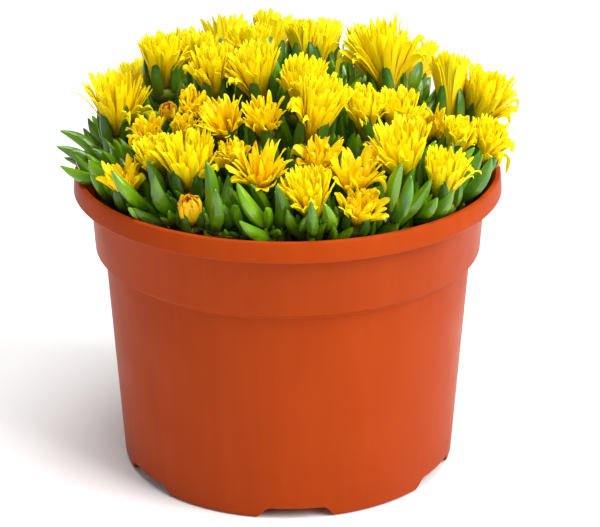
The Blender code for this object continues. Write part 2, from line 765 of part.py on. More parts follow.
def fitting_leaf(node, axis, side, opening, size, placed, siblings):
    """The first way to open a leaf that keeps clear of all round it, or none."""
    for change, share in LEAF_TRIES:
        angle = math.radians(max(LEAST_OPENING, opening + change))
        leaf = leaf_candidate(node, axis, side, angle, size * share)
        guard = entry(leaf_guard(leaf, 0.12, 2 * BREATH), None)
        slim = entry(leaf_guard(leaf, 0.2, GAP), None)
        if within_reach(guard) and is_clear(guard, placed) and is_clear(slim, siblings):
            siblings.append(slim)
            return leaf
    return None


def fitting_tiers(spot, axis, level, habits, placed):
    """The leaves of a shoot that have room, tier by tier from the lowest."""
    tiers = []
    siblings = []
    for number, habit in enumerate(habits):
        node = spot + axis * TIER * (number + 0.5)
        side = level if number % 2 == 0 else axis.cross(level)
        opening = LEAF_OPENINGS[number + len(LEAF_OPENINGS) - len(habits)]
        leaves = [
            fitting_leaf(node, axis, way, opening + change, size, placed, siblings)
            for way, (change, size) in zip((side, -side), habit)
        ]
        tiers.append([leaf for leaf in leaves if leaf])
    return tiers


def crosses_itself(shape):
    """Whether two faces of a body meet that have no corner in common."""
    shape.faces.ensure_lookup_table()
    tree = BVHTree.FromBMesh(shape)
    for first, second in tree.overlap(tree):
        if not set(shape.faces[first].verts) & set(shape.faces[second].verts):
            return True
    return False


def shoot_choices(ways, pairs, places, draw, placed):
    """The ways a shoot may stand with leaves enough, the leafiest first."""
    turn = draw.uniform(0, math.pi)
    habits = [[(draw.uniform(-6, 6), draw.uniform(0.85, 1.1)) for _ in range(2)] for _ in range(pairs)]
    choices = []
    for spot, axis in ways:
        owner = nearest(places, spot)
        if not is_clear(entry(stem_guard(places[owner], spot, axis, pairs), owner), placed, owner):
            continue
        for eighth in range(2):
            level = axis.orthogonal().normalized()
            level.rotate(Quaternion(axis, turn + math.pi / 4 * eighth))
            tiers = fitting_tiers(spot, axis, level, habits, placed)
            count = sum(len(tier) for tier in tiers)
            if count >= LEAST_LEAVES:
                choices.append((count, owner, (spot, axis, level, tiers)))
    return sorted(choices, key=lambda choice: -choice[0])


def grow_shoot(ways, pairs, places, draw, placed):
    """A shoot where most of its leaves have room, and the clump it belongs to."""
    for _, owner, plan in shoot_choices(ways, pairs, places, draw, placed):
        shoot = make_shoot(places[owner], *plan)
        if not crosses_itself(shoot):
            placed.append(entry(shoot, owner))
            return owner, shoot
    return None, None


def crown_shape(place):
    """A clump's woody crown, standing in its hole in the soil."""
    return drum(CROWN_RADIUS, CROWN_FOOT, CROWN_TOP, ROUND_SIDES, place)


def fuse(body, pieces, scraps):
    """Join a clump's pieces to its crown in one union, then drop the pieces."""
    union = body.modifiers.new("join", "BOOLEAN")
    union.operation = "UNION"
    union.solver = "MANIFOLD"
    union.operand_type = "COLLECTION"
    union.collection = scraps
    for number, piece in enumerate(pieces):
        as_object(f"piece_{number}", piece, scraps)
    settle(body)
    for piece in list(scraps.objects):
        bpy.data.objects.remove(piece, do_unlink=True)


def make_plant(parts, places, pot, soil, petal, leaf_green):
    """Flowers first, then their cups and stems, then leafy shoots wherever there is room."""
    draw = random.Random(SEED)
    blooms = [read_bloom(row) for row in BLOOMS]
    part_neighbours(blooms)
    add_outer_walls(blooms)
    placed = [entry_of(pot, "pot"), entry_of(soil, "soil")]
    clumps = {number: [] for number in range(len(places))}
    for number, bloom in enumerate(blooms):
        body = make_bloom(f"bloom_{number + 1:02d}", bloom, draw, parts, petal)
        placed.append(entry_of(body, "petals"))
    for bloom in blooms:
        owner = nearest(places, bloom["throat"])
        cup = make_cup(bloom, places[owner])
        placed.append(entry(cup, owner))
        clumps[owner].append(cup)
    draw = random.Random(SEED + 1)
    for number, place in enumerate(places):
        placed.append(entry(crown_shape(place), number))
    for ways, pairs in shoot_plans(draw):
        owner, shoot = grow_shoot(ways, pairs, places, draw, placed)
        if shoot:
            clumps[owner].append(shoot)
    scraps = new_collection("scraps")
    for number, pieces in clumps.items():
        crown = as_object(f"clump_{number + 1:02d}", crown_shape(places[number]), parts, leaf_green)
        fuse(crown, pieces, scraps)


def main():
    clear_scene()
    parts = new_collection("potted_ice_plant")
    terracotta = material("terracotta_plastic", (0.50, 0.075, 0.018), 0.38)
    compost = material("compost", (0.030, 0.018, 0.010), 0.95)
    petal = material("petal_yellow", (0.90, 0.62, 0.01), 0.55)
    leaf_green = material("leaf_green", (0.10, 0.24, 0.03), 0.40)
    places = crowns()
    pot = make_pot(parts, terracotta)
    soil = make_soil(parts, compost, places)
    make_plant(parts, places, pot, soil, petal, leaf_green)


main()
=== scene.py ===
"""Looks of the potted ice plant: petals, leaves, cups, soil and pot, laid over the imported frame.

Metres, +Z up. The origin is the middle of the pot's foot, +X is the viewer's right and +Y points away.
"""

import json
import math
import random

import bmesh
import bpy
import numpy as np
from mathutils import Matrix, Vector

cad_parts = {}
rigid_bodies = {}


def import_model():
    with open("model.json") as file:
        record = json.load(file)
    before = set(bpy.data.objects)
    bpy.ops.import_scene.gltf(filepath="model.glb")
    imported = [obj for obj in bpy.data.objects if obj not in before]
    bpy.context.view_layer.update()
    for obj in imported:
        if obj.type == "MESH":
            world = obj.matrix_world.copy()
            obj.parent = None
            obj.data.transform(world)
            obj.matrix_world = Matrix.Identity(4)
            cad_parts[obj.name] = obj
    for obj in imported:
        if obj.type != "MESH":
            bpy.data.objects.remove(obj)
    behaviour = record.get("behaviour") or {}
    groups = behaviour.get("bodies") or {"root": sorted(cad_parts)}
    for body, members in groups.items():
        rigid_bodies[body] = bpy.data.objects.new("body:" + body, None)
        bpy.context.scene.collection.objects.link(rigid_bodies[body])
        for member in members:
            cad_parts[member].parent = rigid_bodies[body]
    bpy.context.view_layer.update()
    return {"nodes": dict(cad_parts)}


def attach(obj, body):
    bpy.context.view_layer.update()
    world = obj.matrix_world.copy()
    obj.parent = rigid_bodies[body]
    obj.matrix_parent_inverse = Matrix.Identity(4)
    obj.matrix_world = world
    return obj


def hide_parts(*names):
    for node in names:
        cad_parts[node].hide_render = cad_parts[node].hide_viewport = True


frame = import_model()

MM = 0.001
SEED = 11
GAP = 0.3 * MM
# Angles between faces, in degrees, under which their edge is shaded smooth
SOFT_CREASE, PETAL_CREASE, GREEN_CREASE, POT_CREASE = 180, 70, 45, 25

# Pot: radius and height of the turned section, from the middle of the floor over the rim to the foot (mm)
POT_SECTION = (
    (57.0, 6.8), (57.9, 7.2), (58.3, 8.4), (62.9, 76.4), (63.2, 77.6), (66.1, 80.2), (66.4, 81.4),
    (67.7, 100.3), (68.1, 101.6), (72.2, 107.6), (72.5, 108.3), (73.1, 108.9), (74.0, 108.9), (74.5, 108.7),
    (74.8, 108.1), (75.3, 102.2), (75.0, 101.8), (73.8, 101.8), (73.5, 102.1), (73.2, 105.2), (69.9, 101.9),
    (69.5, 100.9), (68.2, 80.9), (67.9, 80.2), (65.2, 78.5), (64.8, 77.8), (59.5, 2.0), (59.1, 0.7),
    (58.1, 0.0), (56.2, 0.0), (55.8, 0.4), (55.6, 1.2), (55.6, 5.0),
)
POT_SIDES = 144
FOOT_RADIUS = 58.5 * MM
NOTCHES = 6
NOTCH_TURN = math.radians(2.7)
NOTCH_TOP_WIDTH = 20.5 * MM
NOTCH_FOOT_WIDTH = 27.5 * MM
NOTCH_HEIGHT = 4.2 * MM
NOTCH_CUT = 12 * MM
NOTCH_ROUNDING = 1.6 * MM
CUT_PAST = 3 * MM
DRAIN_RADIUS = 4.5 * MM
DRAIN_CIRCLE = 40 * MM

# Soil and crowns: the bed's section is radius and height (mm), then rings in to its middle
SOIL_TOP = 97 * MM
SOIL_SECTION = (
    (55.2, 7.1), (62.4, 76.8), (65.6, 81.4), (66.4, 95.2), (65.4, 96.2), (62, 96.3), (58, 96.4), (54, 96.5))
SOIL_RINGS = (*range(50, 5, -4), 3)
SOIL_SIDES = 96
WAVES = 24
WAVE_PITCHES = (60, 520)
WAVE_HEIGHT = 0.05
CROWN_RINGS = ((3, 18 * MM, 90), (6, 45 * MM, 30))
CROWN_RADIUS = 4.8 * MM
CROWN_FOOT = 90 * MM
CROWN_TOP = 103 * MM
CROWN_TAPER = 0.9
CRUMBS = 900
CRUMB_REACH = 65 * MM
CRUMB_SIZES = (0.5, 0.7, 0.9, 1.3, 1.9)
CRUMB_STRETCHES = ((0.7, 1.5), (0.6, 1.1), (0.4, 0.9))
DRY_ROOTS = 16
RIM_ROOTS = 9
RIM_ROOT_BEARINGS = (216, 262)
ROOT_RADII = (0.09, 0.18)
ROOT_HANDLE = 5 * MM
SOIL_ROOT_SPAN = (0.16, 0.44)
RIM_ROOT_SPAN = (-0.16, 0.16)
# Where a dry root ends: least and most distance from the pot's axis (mm), and height over a base (mm)
SOIL_ROOT_END = ((55, 65), SOIL_TOP, (0.5, 4))
RIM_ROOT_ENDS = (((61, 66), 0, (101, 105)), ((71.5, 74), 0, (109.1, 109.8)))

# The cushion's outline: the height of the flowers' throats over any point of the pot
CUSHION_TOP = 140 * MM
CUSHION_FALL = 5.0
CUSHION_MIDDLE = 15 * MM
REACH_SIDE = 82.5 * MM
REACH_FRONT = 75.0 * MM

# Sepals, cups, stems and shoots
SEPALS = 5
SEPAL_LENGTH = 12 * MM
SEPAL_ROOT = (1.5 * MM, 3.6 * MM)
SEPAL_RISE = (0.72, 1.05)
SEPAL_STANDS_OFF = 0.3 * MM
SEPAL_BEND = 0.9 * MM
SEPAL_SLIM = (0.86, 1.0)
SEPAL_DEPTH = 2.3 * MM
SEPAL_STRAY = (-0.1, 0.1)
CUP_DEPTH = 7.5 * MM
CUP_MARGIN = 2.1 * MM
CUP_OVERLAP = 0.3 * MM
CUP_TOP = -1.4 * MM
STEM_RADIUS = 1.5 * MM
STEM_RADII = (STEM_RADIUS * 1.1, STEM_RADIUS)
STEM_SUNK = 2.4 * MM
STEM_ASIDE = 0.4
SHOOT_REACH = 8 * MM
SHOOT_PAST = 1.5 * MM
SHOOT_TAPER = 0.3
# Throat radius, height and opening of the tube, how far the petals gather in how many tufts, how loosely
# they twist, how stiffly they stand, and how narrow a side hangs
KINDS = {
    "fresh": {"throat": 3.2 * MM, "tube": 0.50, "opening": 0.36, "tufts": 8, "gathering": 0.6,
              "loose": 1.0, "stiff": 1.5, "narrow": 2.0},
    "wilted": {"throat": 2.7 * MM, "tube": 0.42, "opening": 0.28, "tufts": 6, "gathering": 0.95,
               "loose": 3.0, "stiff": 0.8, "narrow": 1.0},
    "bud": {"throat": 1.8 * MM, "tube": 0.50, "opening": 0.75, "tufts": 5, "gathering": 0.2,
            "loose": 1.0, "stiff": 0.8, "narrow": 1.0},
}
# Rings of petals from the outside in: how many, foot as a share of the throat, tip as shares of the spread
# and of the length (least and most), width (mm) and how far a tip may hang, as a share of the length
PETAL_RINGS = {
    "fresh": (
        (24, 1.00, (0.90, 1.20), (0.82, 0.97), 2.25, 0.80),
        (27, 0.94, (0.72, 1.12), (0.87, 1.00), 2.15, 0.50),
        (27, 0.80, (0.46, 0.88), (0.90, 1.03), 2.00, 0.14),
        (23, 0.58, (0.20, 0.58), (0.89, 1.02), 1.85, 0.0),
        (14, 0.34, (0.02, 0.28), (0.79, 0.97), 1.65, 0.0),
    ),
    "wilted": (
        (19, 1.00, (0.75, 1.30), (0.60, 1.00), 2.30, 0.90),
        (20, 0.84, (0.40, 1.10), (0.65, 1.03), 2.20, 0.60),
        (18, 0.56, (0.05, 0.75), (0.60, 1.04), 1.90, 0.25),
    ),
    "bud": (
        (13, 1.00, (0.55, 1.00), (0.72, 0.96), 2.2, 0.0),
        (12, 0.82, (0.35, 0.80), (0.82, 1.02), 2.0, 0.0),
        (8, 0.50, (0.10, 0.50), (0.84, 1.04), 1.8, 0.0),
    ),
}
# Each flower as it stands in the photograph, then those at the back that fill the cushion:
# right and back of the pot's middle, how far it sits under the cushion's outline (mm),
# lean to the right and to the front (degrees), petals' length and spread (mm), kind
BLOOMS = (
    (-60, 9, 3, 0, 6, 20, 12.0, "fresh"),
    (-55, 26, 0, -2, 18, 13, 4.5, "wilted"),
    (-44, 17, -3.5, -4, 0, 17.5, 8.0, "fresh"),
    (-36, 50, 1, -4, -34, 17, 6.5, "fresh"),
    (-22, 46, 2, 1, -40, 17, 9.5, "fresh"),
    (-25, -3, 0, -1, 4, 19, 7.5, "fresh"),
    (-10, -8, 0, -8, 5, 19, 9.0, "fresh"),
    (-7, 46, 2, 9, -36, 18, 7.5, "fresh"),
    (4, -15, 0, 7, 6, 18, 7.5, "fresh"),
    (6, 26, 0, -7, 0, 15, 4.5, "fresh"),
    (14, 55, 2.5, 0, -34, 17, 6.0, "fresh"),
    (35, 10, 0, -9, -4, 24, 12.0, "fresh"),
    (44, 40, 1, 25, -40, 17, 7.5, "wilted"),
    (57, 12, 0, 0, -11, 22, 6.5, "fresh"),
    (67, 16, 0, 12, 6, 21, 11.0, "fresh"),
    (67, -10, 0, 15, 14, 15, 6.5, "fresh"),
    (51, -3, 7, -10, 17, 14, 4.5, "wilted"),
    (57, -15, 0, 11, 13, 12.5, 5.5, "fresh"),
    (52, -39, 0, 0, 9, 16.5, 8.5, "fresh"),
    (38, -14, 4, 0, 9, 16, 8.5, "fresh"),
    (39, -38, 0, -7, 9, 19, 12.0, "fresh"),
    (27, -19, 3, -10, 8, 17, 6.0, "fresh"),
    (8, -30, 0, 16, 8, 22, 8.5, "fresh"),
    (-21, -26, 0, -14, 25, 13.5, 9.0, "wilted"),
    (-8, -28, 0, -6, 15, 14, 6.5, "wilted"),
    (10, -44, 0, 5, 18, 14, 7.5, "wilted"),
    (8, -57, 1.5, -9, 10, 15.5, 9.5, "fresh"),
    (22, -49, 0, -2, 18, 15.5, 9.5, "wilted"),
    (23, -58, 0, 12, 25, 12.5, 7.5, "wilted"),
    (-47, -17, 1.5, -8, 18, 11.5, 6.0, "wilted"),
    (-36, -22, 0, 13, 20, 10, 5.0, "wilted"),
    (-33, -43, 0, 1, 10, 17.5, 11.5, "fresh"),
    (-43, -34, 0, -14, 14, 12.5, 6.5, "fresh"),
    (-54, -37, 0, -12, 18, 13.5, 6.5, "wilted"),
    (-32, -56, 0, -4, 23, 11, 3.2, "bud"),
    (-33, -12, 0, 6, 14, 11, 4.0, "wilted"),
    (-41, -5, 3, -1, 22, 8, 2.6, "bud"),
    (-17, -40, 0, -18, 18, 10.5, 4.5, "wilted"),
    (-9, -49, 0, 1, 20, 15, 10.5, "wilted"),
    (-51, 41, 6, -14, -25, 17, 8.5, "fresh"),
    (-30, 26, 3, -8, -8, 17, 7.5, "fresh"),
    (-13, 24, 3, -4, -8, 17, 7.5, "fresh"),
    (-16, 63, 8, -8, -42, 16, 8.5, "fresh"),
    (28, 43, 3, 8, -24, 17, 7.5, "fresh"),
    (58, 32, 7, 18, -22, 16, 8.0, "fresh"),
    (29, 60, 5, 12, -44, 15, 8.0, "wilted"),
    (11, 41, 4, 2, -14, 16, 6.0, "fresh"),
)
# Flowers whose petals hang in the photograph: to which side, in degrees round the pot from its right,
# how limp they are, and on how many sides
LIMP = {
    1: (-25, 0.9, 1), 3: (0, 1.0, 1), 6: (190, 1.2, 1), 7: (180, 1.1, 1), 9: (195, 1.2, 1),
    12: (187, 1.8, 2), 14: (60, 0.8, 1), 15: (-15, 1.3, 1), 16: (-15, 1.1, 1), 21: (185, 1.7, 1),
    23: (200, 0.9, 1), 27: (235, 0.9, 1), 32: (-50, 1.3, 2),
}

# Petal: rows of (share of the length, width), and its channel and its sheet as shares of its width
PETAL_ROWS = (
    (0, 0.6), (0.18, 0.82), (0.36, 0.98), (0.52, 1.02), (0.66, 0.98), (0.79, 0.86), (0.91, 0.62), (1, 0.24))
PETAL_CHANNEL = 0.06
PETAL_SHEET = 0.11
# How far petals of near flowers may cross, how deep they lie in layers there, and from where they are bent
PETAL_MINGLE = 1.6 * MM
PETAL_LAYERS = 2.0 * MM
SOFT_SHARE = 0.75
# A petal's line: its foot in the cup, its waist and its shoulder, how the inner rings narrow, then the bud's
PETAL_SUNK = 0.8 * MM
PETAL_FOOT = 0.8
PETAL_WAIST = 0.55
PETAL_SHOULDER = 0.76
RING_LEAST = 0.35
BUD_BELLY = 1.15
BUD_WAIST = (0.95, 1.2)
BUD_SHOULDER = (1.0, 1.3)
BUD_SHOULDER_RISE = (0.65, 0.8)
# How a limp petal hangs: the room that it needs, how far it reaches out, arches, twists and tucks its tip in
HANG_ROOM = 0.8
HANG_REACH = 0.45
HANG_ARCH = (-0.3, 0.5)
HANG_TWIST = 1.3
HANG_TUCK = 0.08
HANG_FULL = 0.4
# How a petal's tone shifts the lines on it, and how its layer is mixed into its tone
TONE_SHIFT = 7.3
TONE_MIX = 7.7
# A flower's axis in steps, from the foot of its cup, for the planes between near flowers
SPINE_FOOT = 8 * MM
SPINE_STEPS = 12
NEAR = 6 * MM
LEAST_SHARE = 0.4
LEAST_SLOPE = 0.02
# Least height of a petal at distances from the pot's axis, so that it stays clear of the rim
RIM_CLEAR = ((62 * MM, 69 * MM, 73 * MM), (99 * MM, 106.5 * MM, 111 * MM))
# Heights inside the rim, and how far from the pot's axis a leaf may reach there
RIM_INSIDE = ((101 * MM, 107 * MM, 108.9 * MM, 110 * MM), (67.2 * MM, 71.2 * MM, 72.5 * MM, 90 * MM))
# Leaf and sepal: rows of (share of the length, fullness)
LEAF_ROWS = ((0.1, 0.7), (0.24, 0.92), (0.42, 1.04), (0.58, 1.01), (0.72, 0.87), (0.85, 0.6), (0.95, 0.28))
SEPAL_ROWS = ((0.1, 0.85), (0.25, 1.04), (0.42, 1.06), (0.58, 0.97), (0.73, 0.77), (0.87, 0.48), (0.96, 0.2))
# A leaf's section, from a circle: corners between two heights and two distances from its middle, then how
# far they are widened and sunk
LEAF_SECTION = (
    (0.3, 1, 0, 1, 1.25, 0.46), (0.1, 0.3, 0, 1, 1, 0.34), (-0.3, -0.1, 0.4, 1, 0.78, 0.38),
    (-1, -0.4, 0, 0.3, 0.5, 0.5))
LEAF_FOOT = 0.5
# A leaf of the solids: shortest edge at its tip, widest blade and keel, and where it is widest
LEAST_EDGE = 8 * MM
WIDEST_LEAF = 9 * MM
WIDEST_KEEL = 4 * MM
LEAF_BELLY = 0.4
# How the finer leaf differs: its width and depth, the longest, and those of the left cluster, whose tones are
# held dark as painted shade
LEAF_SLIM = 0.94
LEAF_PLUMP = 1.08
LEAF_LONGEST = 21 * MM
LEFT_CLUSTER = -52 * MM
LEFT_UPRIGHT = 15 * MM
LEFT_PAINTED_SHADE = 0.4
STEEP = 0.85
# Cup: rows of (share of the depth, radius)
CUP_ROWS = ((0.1, 0.55), (0.26, 0.76), (0.46, 0.93), (0.7, 1.0), (0.9, 0.98), (1.0, 0.86), (1.0, 0.3))
CUP_NECK = 0.42
# A clump's coats
LEAF, STEM, CROWN, SEPAL = range(4)
# Balls that fill a leaf and a flower: share of its length, and radius as a share of its own
LEAF_BALLS = ((0.2, 0.7), (0.42, 0.85), (0.65, 0.8), (0.88, 0.45))
BLOOM_BALLS = (
    (-0.4, 1.0), (-0.25, 1.35), (-0.1, 1.45), (0.1, 1.45), (0.25, 1.5), (0.4, 1.6), (0.6, 2.0), (0.8, 2.4))

# Sprigs of small leaves that fill the gaps: first those just inside the rim, then those all over
RIM_SPRIG_TRIES = 1500
RIM_SPRIG_BAND = (50 * MM, 63 * MM)
RIM_SPRIG_HEIGHT = (103 * MM, 108 * MM)
SPRIG_TRIES = 3600
SPRIG_REACH = 66 * MM
SPRIG_LEAF = (9 * MM, 17 * MM)
SPRIG_OVERLAP = 1.1 * MM
SPRIG_BELOW = 13 * MM
SPRIG_LEAN = 0.9
SPRIG_OPENING = (0.5, 0.95)
SPRIG_TIER = 2.4 * MM
SPRIG_STEM = (1.4 * MM, 0.5 * MM)
SPRIG_INWARD = 0.94
# Bend, width and depth of a sprig's leaf, as shares of its length
SPRIG_BEND = (0.06, 0.22)
SPRIG_WIDTH = (0.32, 0.4)
SPRIG_DEPTH = (0.26, 0.33)
POT_CLEAR = 111 * MM
RIM_SLOPE = 0.6
# The leaf over the rim at the photograph's left: root, tip, how far it curls up, width, depth (mm)
RIM_LEAF = ((-60.5, -19, 113.6), (-77.5, -22.5, 117.4), 6.0, 6.6, 4.6)

# Petals of each kind: name, colours at the foot, the middle and the tip, the deep one, how brown the ends;
# the more orange foot is partly the petals' own colour and partly painted shade
PETAL_COATS = {
    "fresh": ("petal_fresh", (0.93, 0.50, 0.02), (0.97, 0.74, 0.001), (0.98, 0.83, 0.003),
              (0.97, 0.62, 0.0), 0.0),
    "wilted": ("petal_fading", (0.80, 0.44, 0.02), (0.97, 0.72, 0.001), (0.97, 0.73, 0.002),
               (0.95, 0.50, 0.0), 0.6),
    "bud": ("petal_bud", (0.75, 0.40, 0.02), (0.97, 0.62, 0.002), (0.95, 0.46, 0.003),
            (0.90, 0.34, 0.0), 0.8),
}

# Lamps: name, place, height of what they light, width and power
LAMPS = (
    ("key", (1.3, -0.8, 1.3), 0.08, 1.3, 52), ("fill", (-1.2, -1.2, 0.7), 0.08, 1.2, 2),
    ("top", (0.05, -0.1, 1.6), 0.1, 1.1, 24))
SKY_STRENGTH = 0.32

# Camera, read from the photograph
LENS = 156
CAMERA_PLACE = (0, -0.860, 0.421)
CAMERA_PITCH = math.radians(22.116)
CAMERA_YAW = math.radians(-0.2865)


def added(adder, name, **sizes):
    """A new primitive, selected alone."""
    bpy.ops.object.select_all(action="DESELECT")
    adder(**sizes)
    piece = bpy.context.object
    piece.name = name
    return piece


def only(piece):
    """Select a piece alone and make it the active one."""
    bpy.ops.object.select_all(action="DESELECT")
    piece.select_set(True)
    bpy.context.view_layer.objects.active = piece


def into_edit(piece, whole=False):
    """Open a piece in edit mode with nothing of it selected, or the whole of it."""
    only(piece)
    bpy.ops.object.mode_set(mode="EDIT")
    bpy.ops.mesh.select_mode(type="VERT")
    bpy.ops.mesh.select_all(action="DESELECT")
    if whole:
        bpy.ops.mesh.select_all(action="SELECT")


def out_of_edit():
    bpy.ops.object.mode_set(mode="OBJECT")


def choose(piece, test):
    """In edit mode, select the points that pass a test, and what lies between them."""
    shape = bmesh.from_edit_mesh(piece.data)
    for vert in shape.verts:
        vert.select_set(test(vert.co))
    shape.select_flush(True)
    bmesh.update_edit_mesh(piece.data)


def shift(x=0.0, y=0.0, z=0.0):
    bpy.ops.transform.translate(value=(x, y, z))


def widen(value, centre=(0, 0, 0)):
    bpy.ops.transform.resize(value=value, center_override=centre)


def drawn(x=0.0, y=0.0, z=0.0):
    bpy.ops.mesh.extrude_region_move(TRANSFORM_OT_translate={"value": (x, y, z)})


def modified(piece, kind, **values):
    """Add a modifier, set it and apply it."""
    only(piece)
    bpy.ops.object.modifier_add(type=kind)
    modifier = piece.modifiers[-1]
    for key, value in values.items():
        setattr(modifier, key, value)
    bpy.ops.object.modifier_apply(modifier=modifier.name)


def smoothed(piece, angle):
    only(piece)
    bpy.ops.object.shade_smooth_by_angle(angle=math.radians(angle))


def outwards(piece):
    """Merge doubles and turn every face outwards."""
    into_edit(piece, whole=True)
    bpy.ops.mesh.remove_doubles(threshold=0.001 * MM)
    bpy.ops.mesh.normals_make_consistent(inside=False)
    out_of_edit()


def placed(piece):
    """Put a piece's place, turn and scale into its mesh."""
    only(piece)
    bpy.ops.object.transform_apply(location=True, rotation=True, scale=True)


def grown(before, stations, unit=1.0, upright=True):
    """Extrude what is selected through stations of (radius, place along the axis)."""
    for radius, place in stations:
        scale = radius / before[0]
        step, centre = (place - before[1]) * unit, place * unit
        if upright:
            drawn(z=step)
            widen((scale, scale, 1), (0, 0, centre))
        else:
            drawn(y=step)
            widen((scale, 1, scale), (0, centre, 0))
        before = (radius, place)


def round_pot(radius, bearing, height=0.0):
    """A point, from its distance to the pot's axis, its bearing and its height."""
    return radius * math.cos(bearing), radius * math.sin(bearing), height


class Master:
    """A shape that is modelled once: its points and its faces."""

    def __init__(self, piece):
        mesh = piece.data
        self.points = np.array([vert.co[:] for vert in mesh.vertices])
        self.faces = [tuple(face.vertices) for face in mesh.polygons]
        bpy.data.objects.remove(piece, do_unlink=True)


class Heap:
    """Copies of masters, gathered into one piece with a coat for each kind of part."""

    def __init__(self, crease=PETAL_CREASE):
        self.crease = crease
        self.points, self.faces, self.coats = [], [], []
        self.layers = {"along": [], "tone": [], "across": []}
        self.count = 0

    def add(self, master, points, tone, coat=0):
        """A copy of a master, with its points moved to their places."""
        self.points.append(points)
        self.faces.extend(tuple(corner + self.count for corner in face) for face in master.faces)
        self.coats.extend([coat] * len(master.faces))
        self.layers["along"].append(master.points[:, 1])
        self.layers["tone"].append(np.full(len(points), tone))
        self.layers["across"].append(master.points[:, 0] + TONE_SHIFT * tone)
        self.count += len(points)

    def stalk(self, master, foot, head, radii, tone, coat):
        """A copy of a master, laid from one point to another."""
        self.add(master, between(master, foot, head, *radii), tone, coat)

    def piece(self, name, coats, slot, *nodes):
        mesh = bpy.data.meshes.new(name)
        mesh.from_pydata(np.concatenate(self.points).tolist(), [], self.faces)
        for coat in coats:
            mesh.materials.append(coat)
        mesh.polygons.foreach_set("material_index", self.coats)
        for word, values in self.layers.items():
            layer = mesh.attributes.new(word, "FLOAT", "POINT")
            layer.data.foreach_set("value", np.concatenate(values).astype(np.float32))
        body = bpy.data.objects.new(name, mesh)
        bpy.context.scene.collection.objects.link(body)
        smoothed(body, self.crease)
        return kept(body, slot, *nodes)


def kept(piece, slot, *nodes):
    """Let a piece ride on the body, and stand for the nodes that it replaces."""
    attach(piece, "root")
    if nodes:
        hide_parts(*nodes)
    return piece


def finished(piece, coat, crease, slot, *nodes):
    """Shade a piece, coat it and keep it."""
    smoothed(piece, crease)
    piece.data.materials.clear()
    piece.data.materials.append(coat)
    return kept(piece, slot, *nodes)


def opened(adder, name, whole=False, **sizes):
    """A new primitive, placed and open in edit mode."""
    piece = added(adder, name, **sizes)
    placed(piece)
    into_edit(piece, whole)
    return piece


def closed(piece):
    """The master that a modelled piece makes, with its faces turned outwards."""
    out_of_edit()
    outwards(piece)
    return Master(piece)


# Masters

def petal_master():
    """A narrow petal with a channel down its middle, one wide and one long."""
    steps = len(PETAL_ROWS) - 1
    petal = opened(bpy.ops.mesh.primitive_grid_add, "petal", x_subdivisions=2, y_subdivisions=steps,
                   size=1.0, location=(0, 0.5, 0))
    for row, (share, width) in reversed(list(enumerate(PETAL_ROWS))):
        level = row / steps
        choose(petal, lambda place: abs(place.y - level) < 0.02)
        widen((width, 1, 1), (0, level, 0))
        shift(y=share - level)
    choose(petal, lambda place: abs(place.x) < 0.01 and place.y > 0.1)
    shift(z=-PETAL_CHANNEL)
    out_of_edit()
    modified(petal, "SOLIDIFY", thickness=PETAL_SHEET, offset=0.0)
    return Master(petal)


def leaf_master(rows):
    """A fleshy leaf or sepal, flat above and keeled below, one wide, one deep and one long."""
    leaf = opened(bpy.ops.mesh.primitive_circle_add, "leaf", vertices=8, radius=0.5, fill_type="NGON",
                  rotation=(math.pi / 2, math.pi / 8, 0))
    for low, high, inner, outer, wide, sink in LEAF_SECTION:
        choose(leaf, lambda place: low < place.z < high and inner < abs(place.x) < outer)
        widen((wide, 1, 1))
        shift(z=-sink)
    bpy.ops.mesh.select_all(action="SELECT")
    widen((LEAF_FOOT, 1, LEAF_FOOT))
    grown((LEAF_FOOT, 0.0), [(fullness, share) for share, fullness in rows], upright=False)
    drawn(y=1 - rows[-1][0])
    bpy.ops.mesh.merge(type="CENTER")
    shift(z=0.08)
    return closed(leaf)


def stem_master():
    """A round stem with a swelling at its middle, one long and one in radius."""
    stem = opened(bpy.ops.mesh.primitive_cylinder_add, "stem", vertices=9, radius=1.0, depth=1.0,
                  location=(0, 0.5, 0), rotation=(math.pi / 2, 0, 0))
    for share in (0.25, 0.5, 0.75, 0.93):
        bpy.ops.mesh.select_all(action="SELECT")
        bpy.ops.mesh.bisect(plane_co=(0, share, 0), plane_no=(0, 1, 0))
    choose(stem, lambda place: abs(place.y - 0.5) < 0.02)
    widen((1.12, 1, 1.12), (0, 0.5, 0))
    return closed(stem)


def cup_master():
    """The green cup under a flower, its rim one wide in radius, from its neck at 0 to its rim at 1."""
    cup = opened(bpy.ops.mesh.primitive_circle_add, "cup", whole=True, vertices=15, radius=CUP_NECK,
                 fill_type="NGON", rotation=(math.pi / 2, 0, 0))
    grown((CUP_NECK, 0.0), [(radius, share) for share, radius in CUP_ROWS], upright=False)
    return closed(cup)


def crumb_master():
    """A crumb of compost."""
    crumb = added(bpy.ops.mesh.primitive_ico_sphere_add, "crumb", subdivisions=1, radius=1.0)
    draw = random.Random(SEED)
    into_edit(crumb)
    bpy.ops.transform.vertex_random(offset=0.35, seed=3)
    choose(crumb, lambda place: place.z < -0.5)
    widen((1, 1, draw.uniform(0.5, 0.7)))
    return closed(crumb)


# Flowers, from the same table and rules as the solids

def cushion_height(right, back):
    """Height of the flowers' throats over a point of the pot."""
    return CUSHION_TOP - CUSHION_FALL * (right ** 2 + (back - CUSHION_MIDDLE) ** 2)


def read_bloom(row):
    """A flower's throat, axes and sizes from its row of the table."""
    right, back, sink, lean_right, lean_front, length, spread, kind = row
    axis = Vector((math.tan(math.radians(lean_right)), -math.tan(math.radians(lean_front)), 1)).normalized()
    side = axis.orthogonal().normalized()
    return {
        "throat": Vector((right * MM, back * MM, cushion_height(right * MM, back * MM) - sink * MM)),
        "axis": axis,
        "side": side,
        "other": axis.cross(side),
        "length": length * MM,
        "spread": spread * MM,
        "kind": kind,
        "scale": KINDS[kind]["throat"] / KINDS["fresh"]["throat"],
        "walls": [],
    }


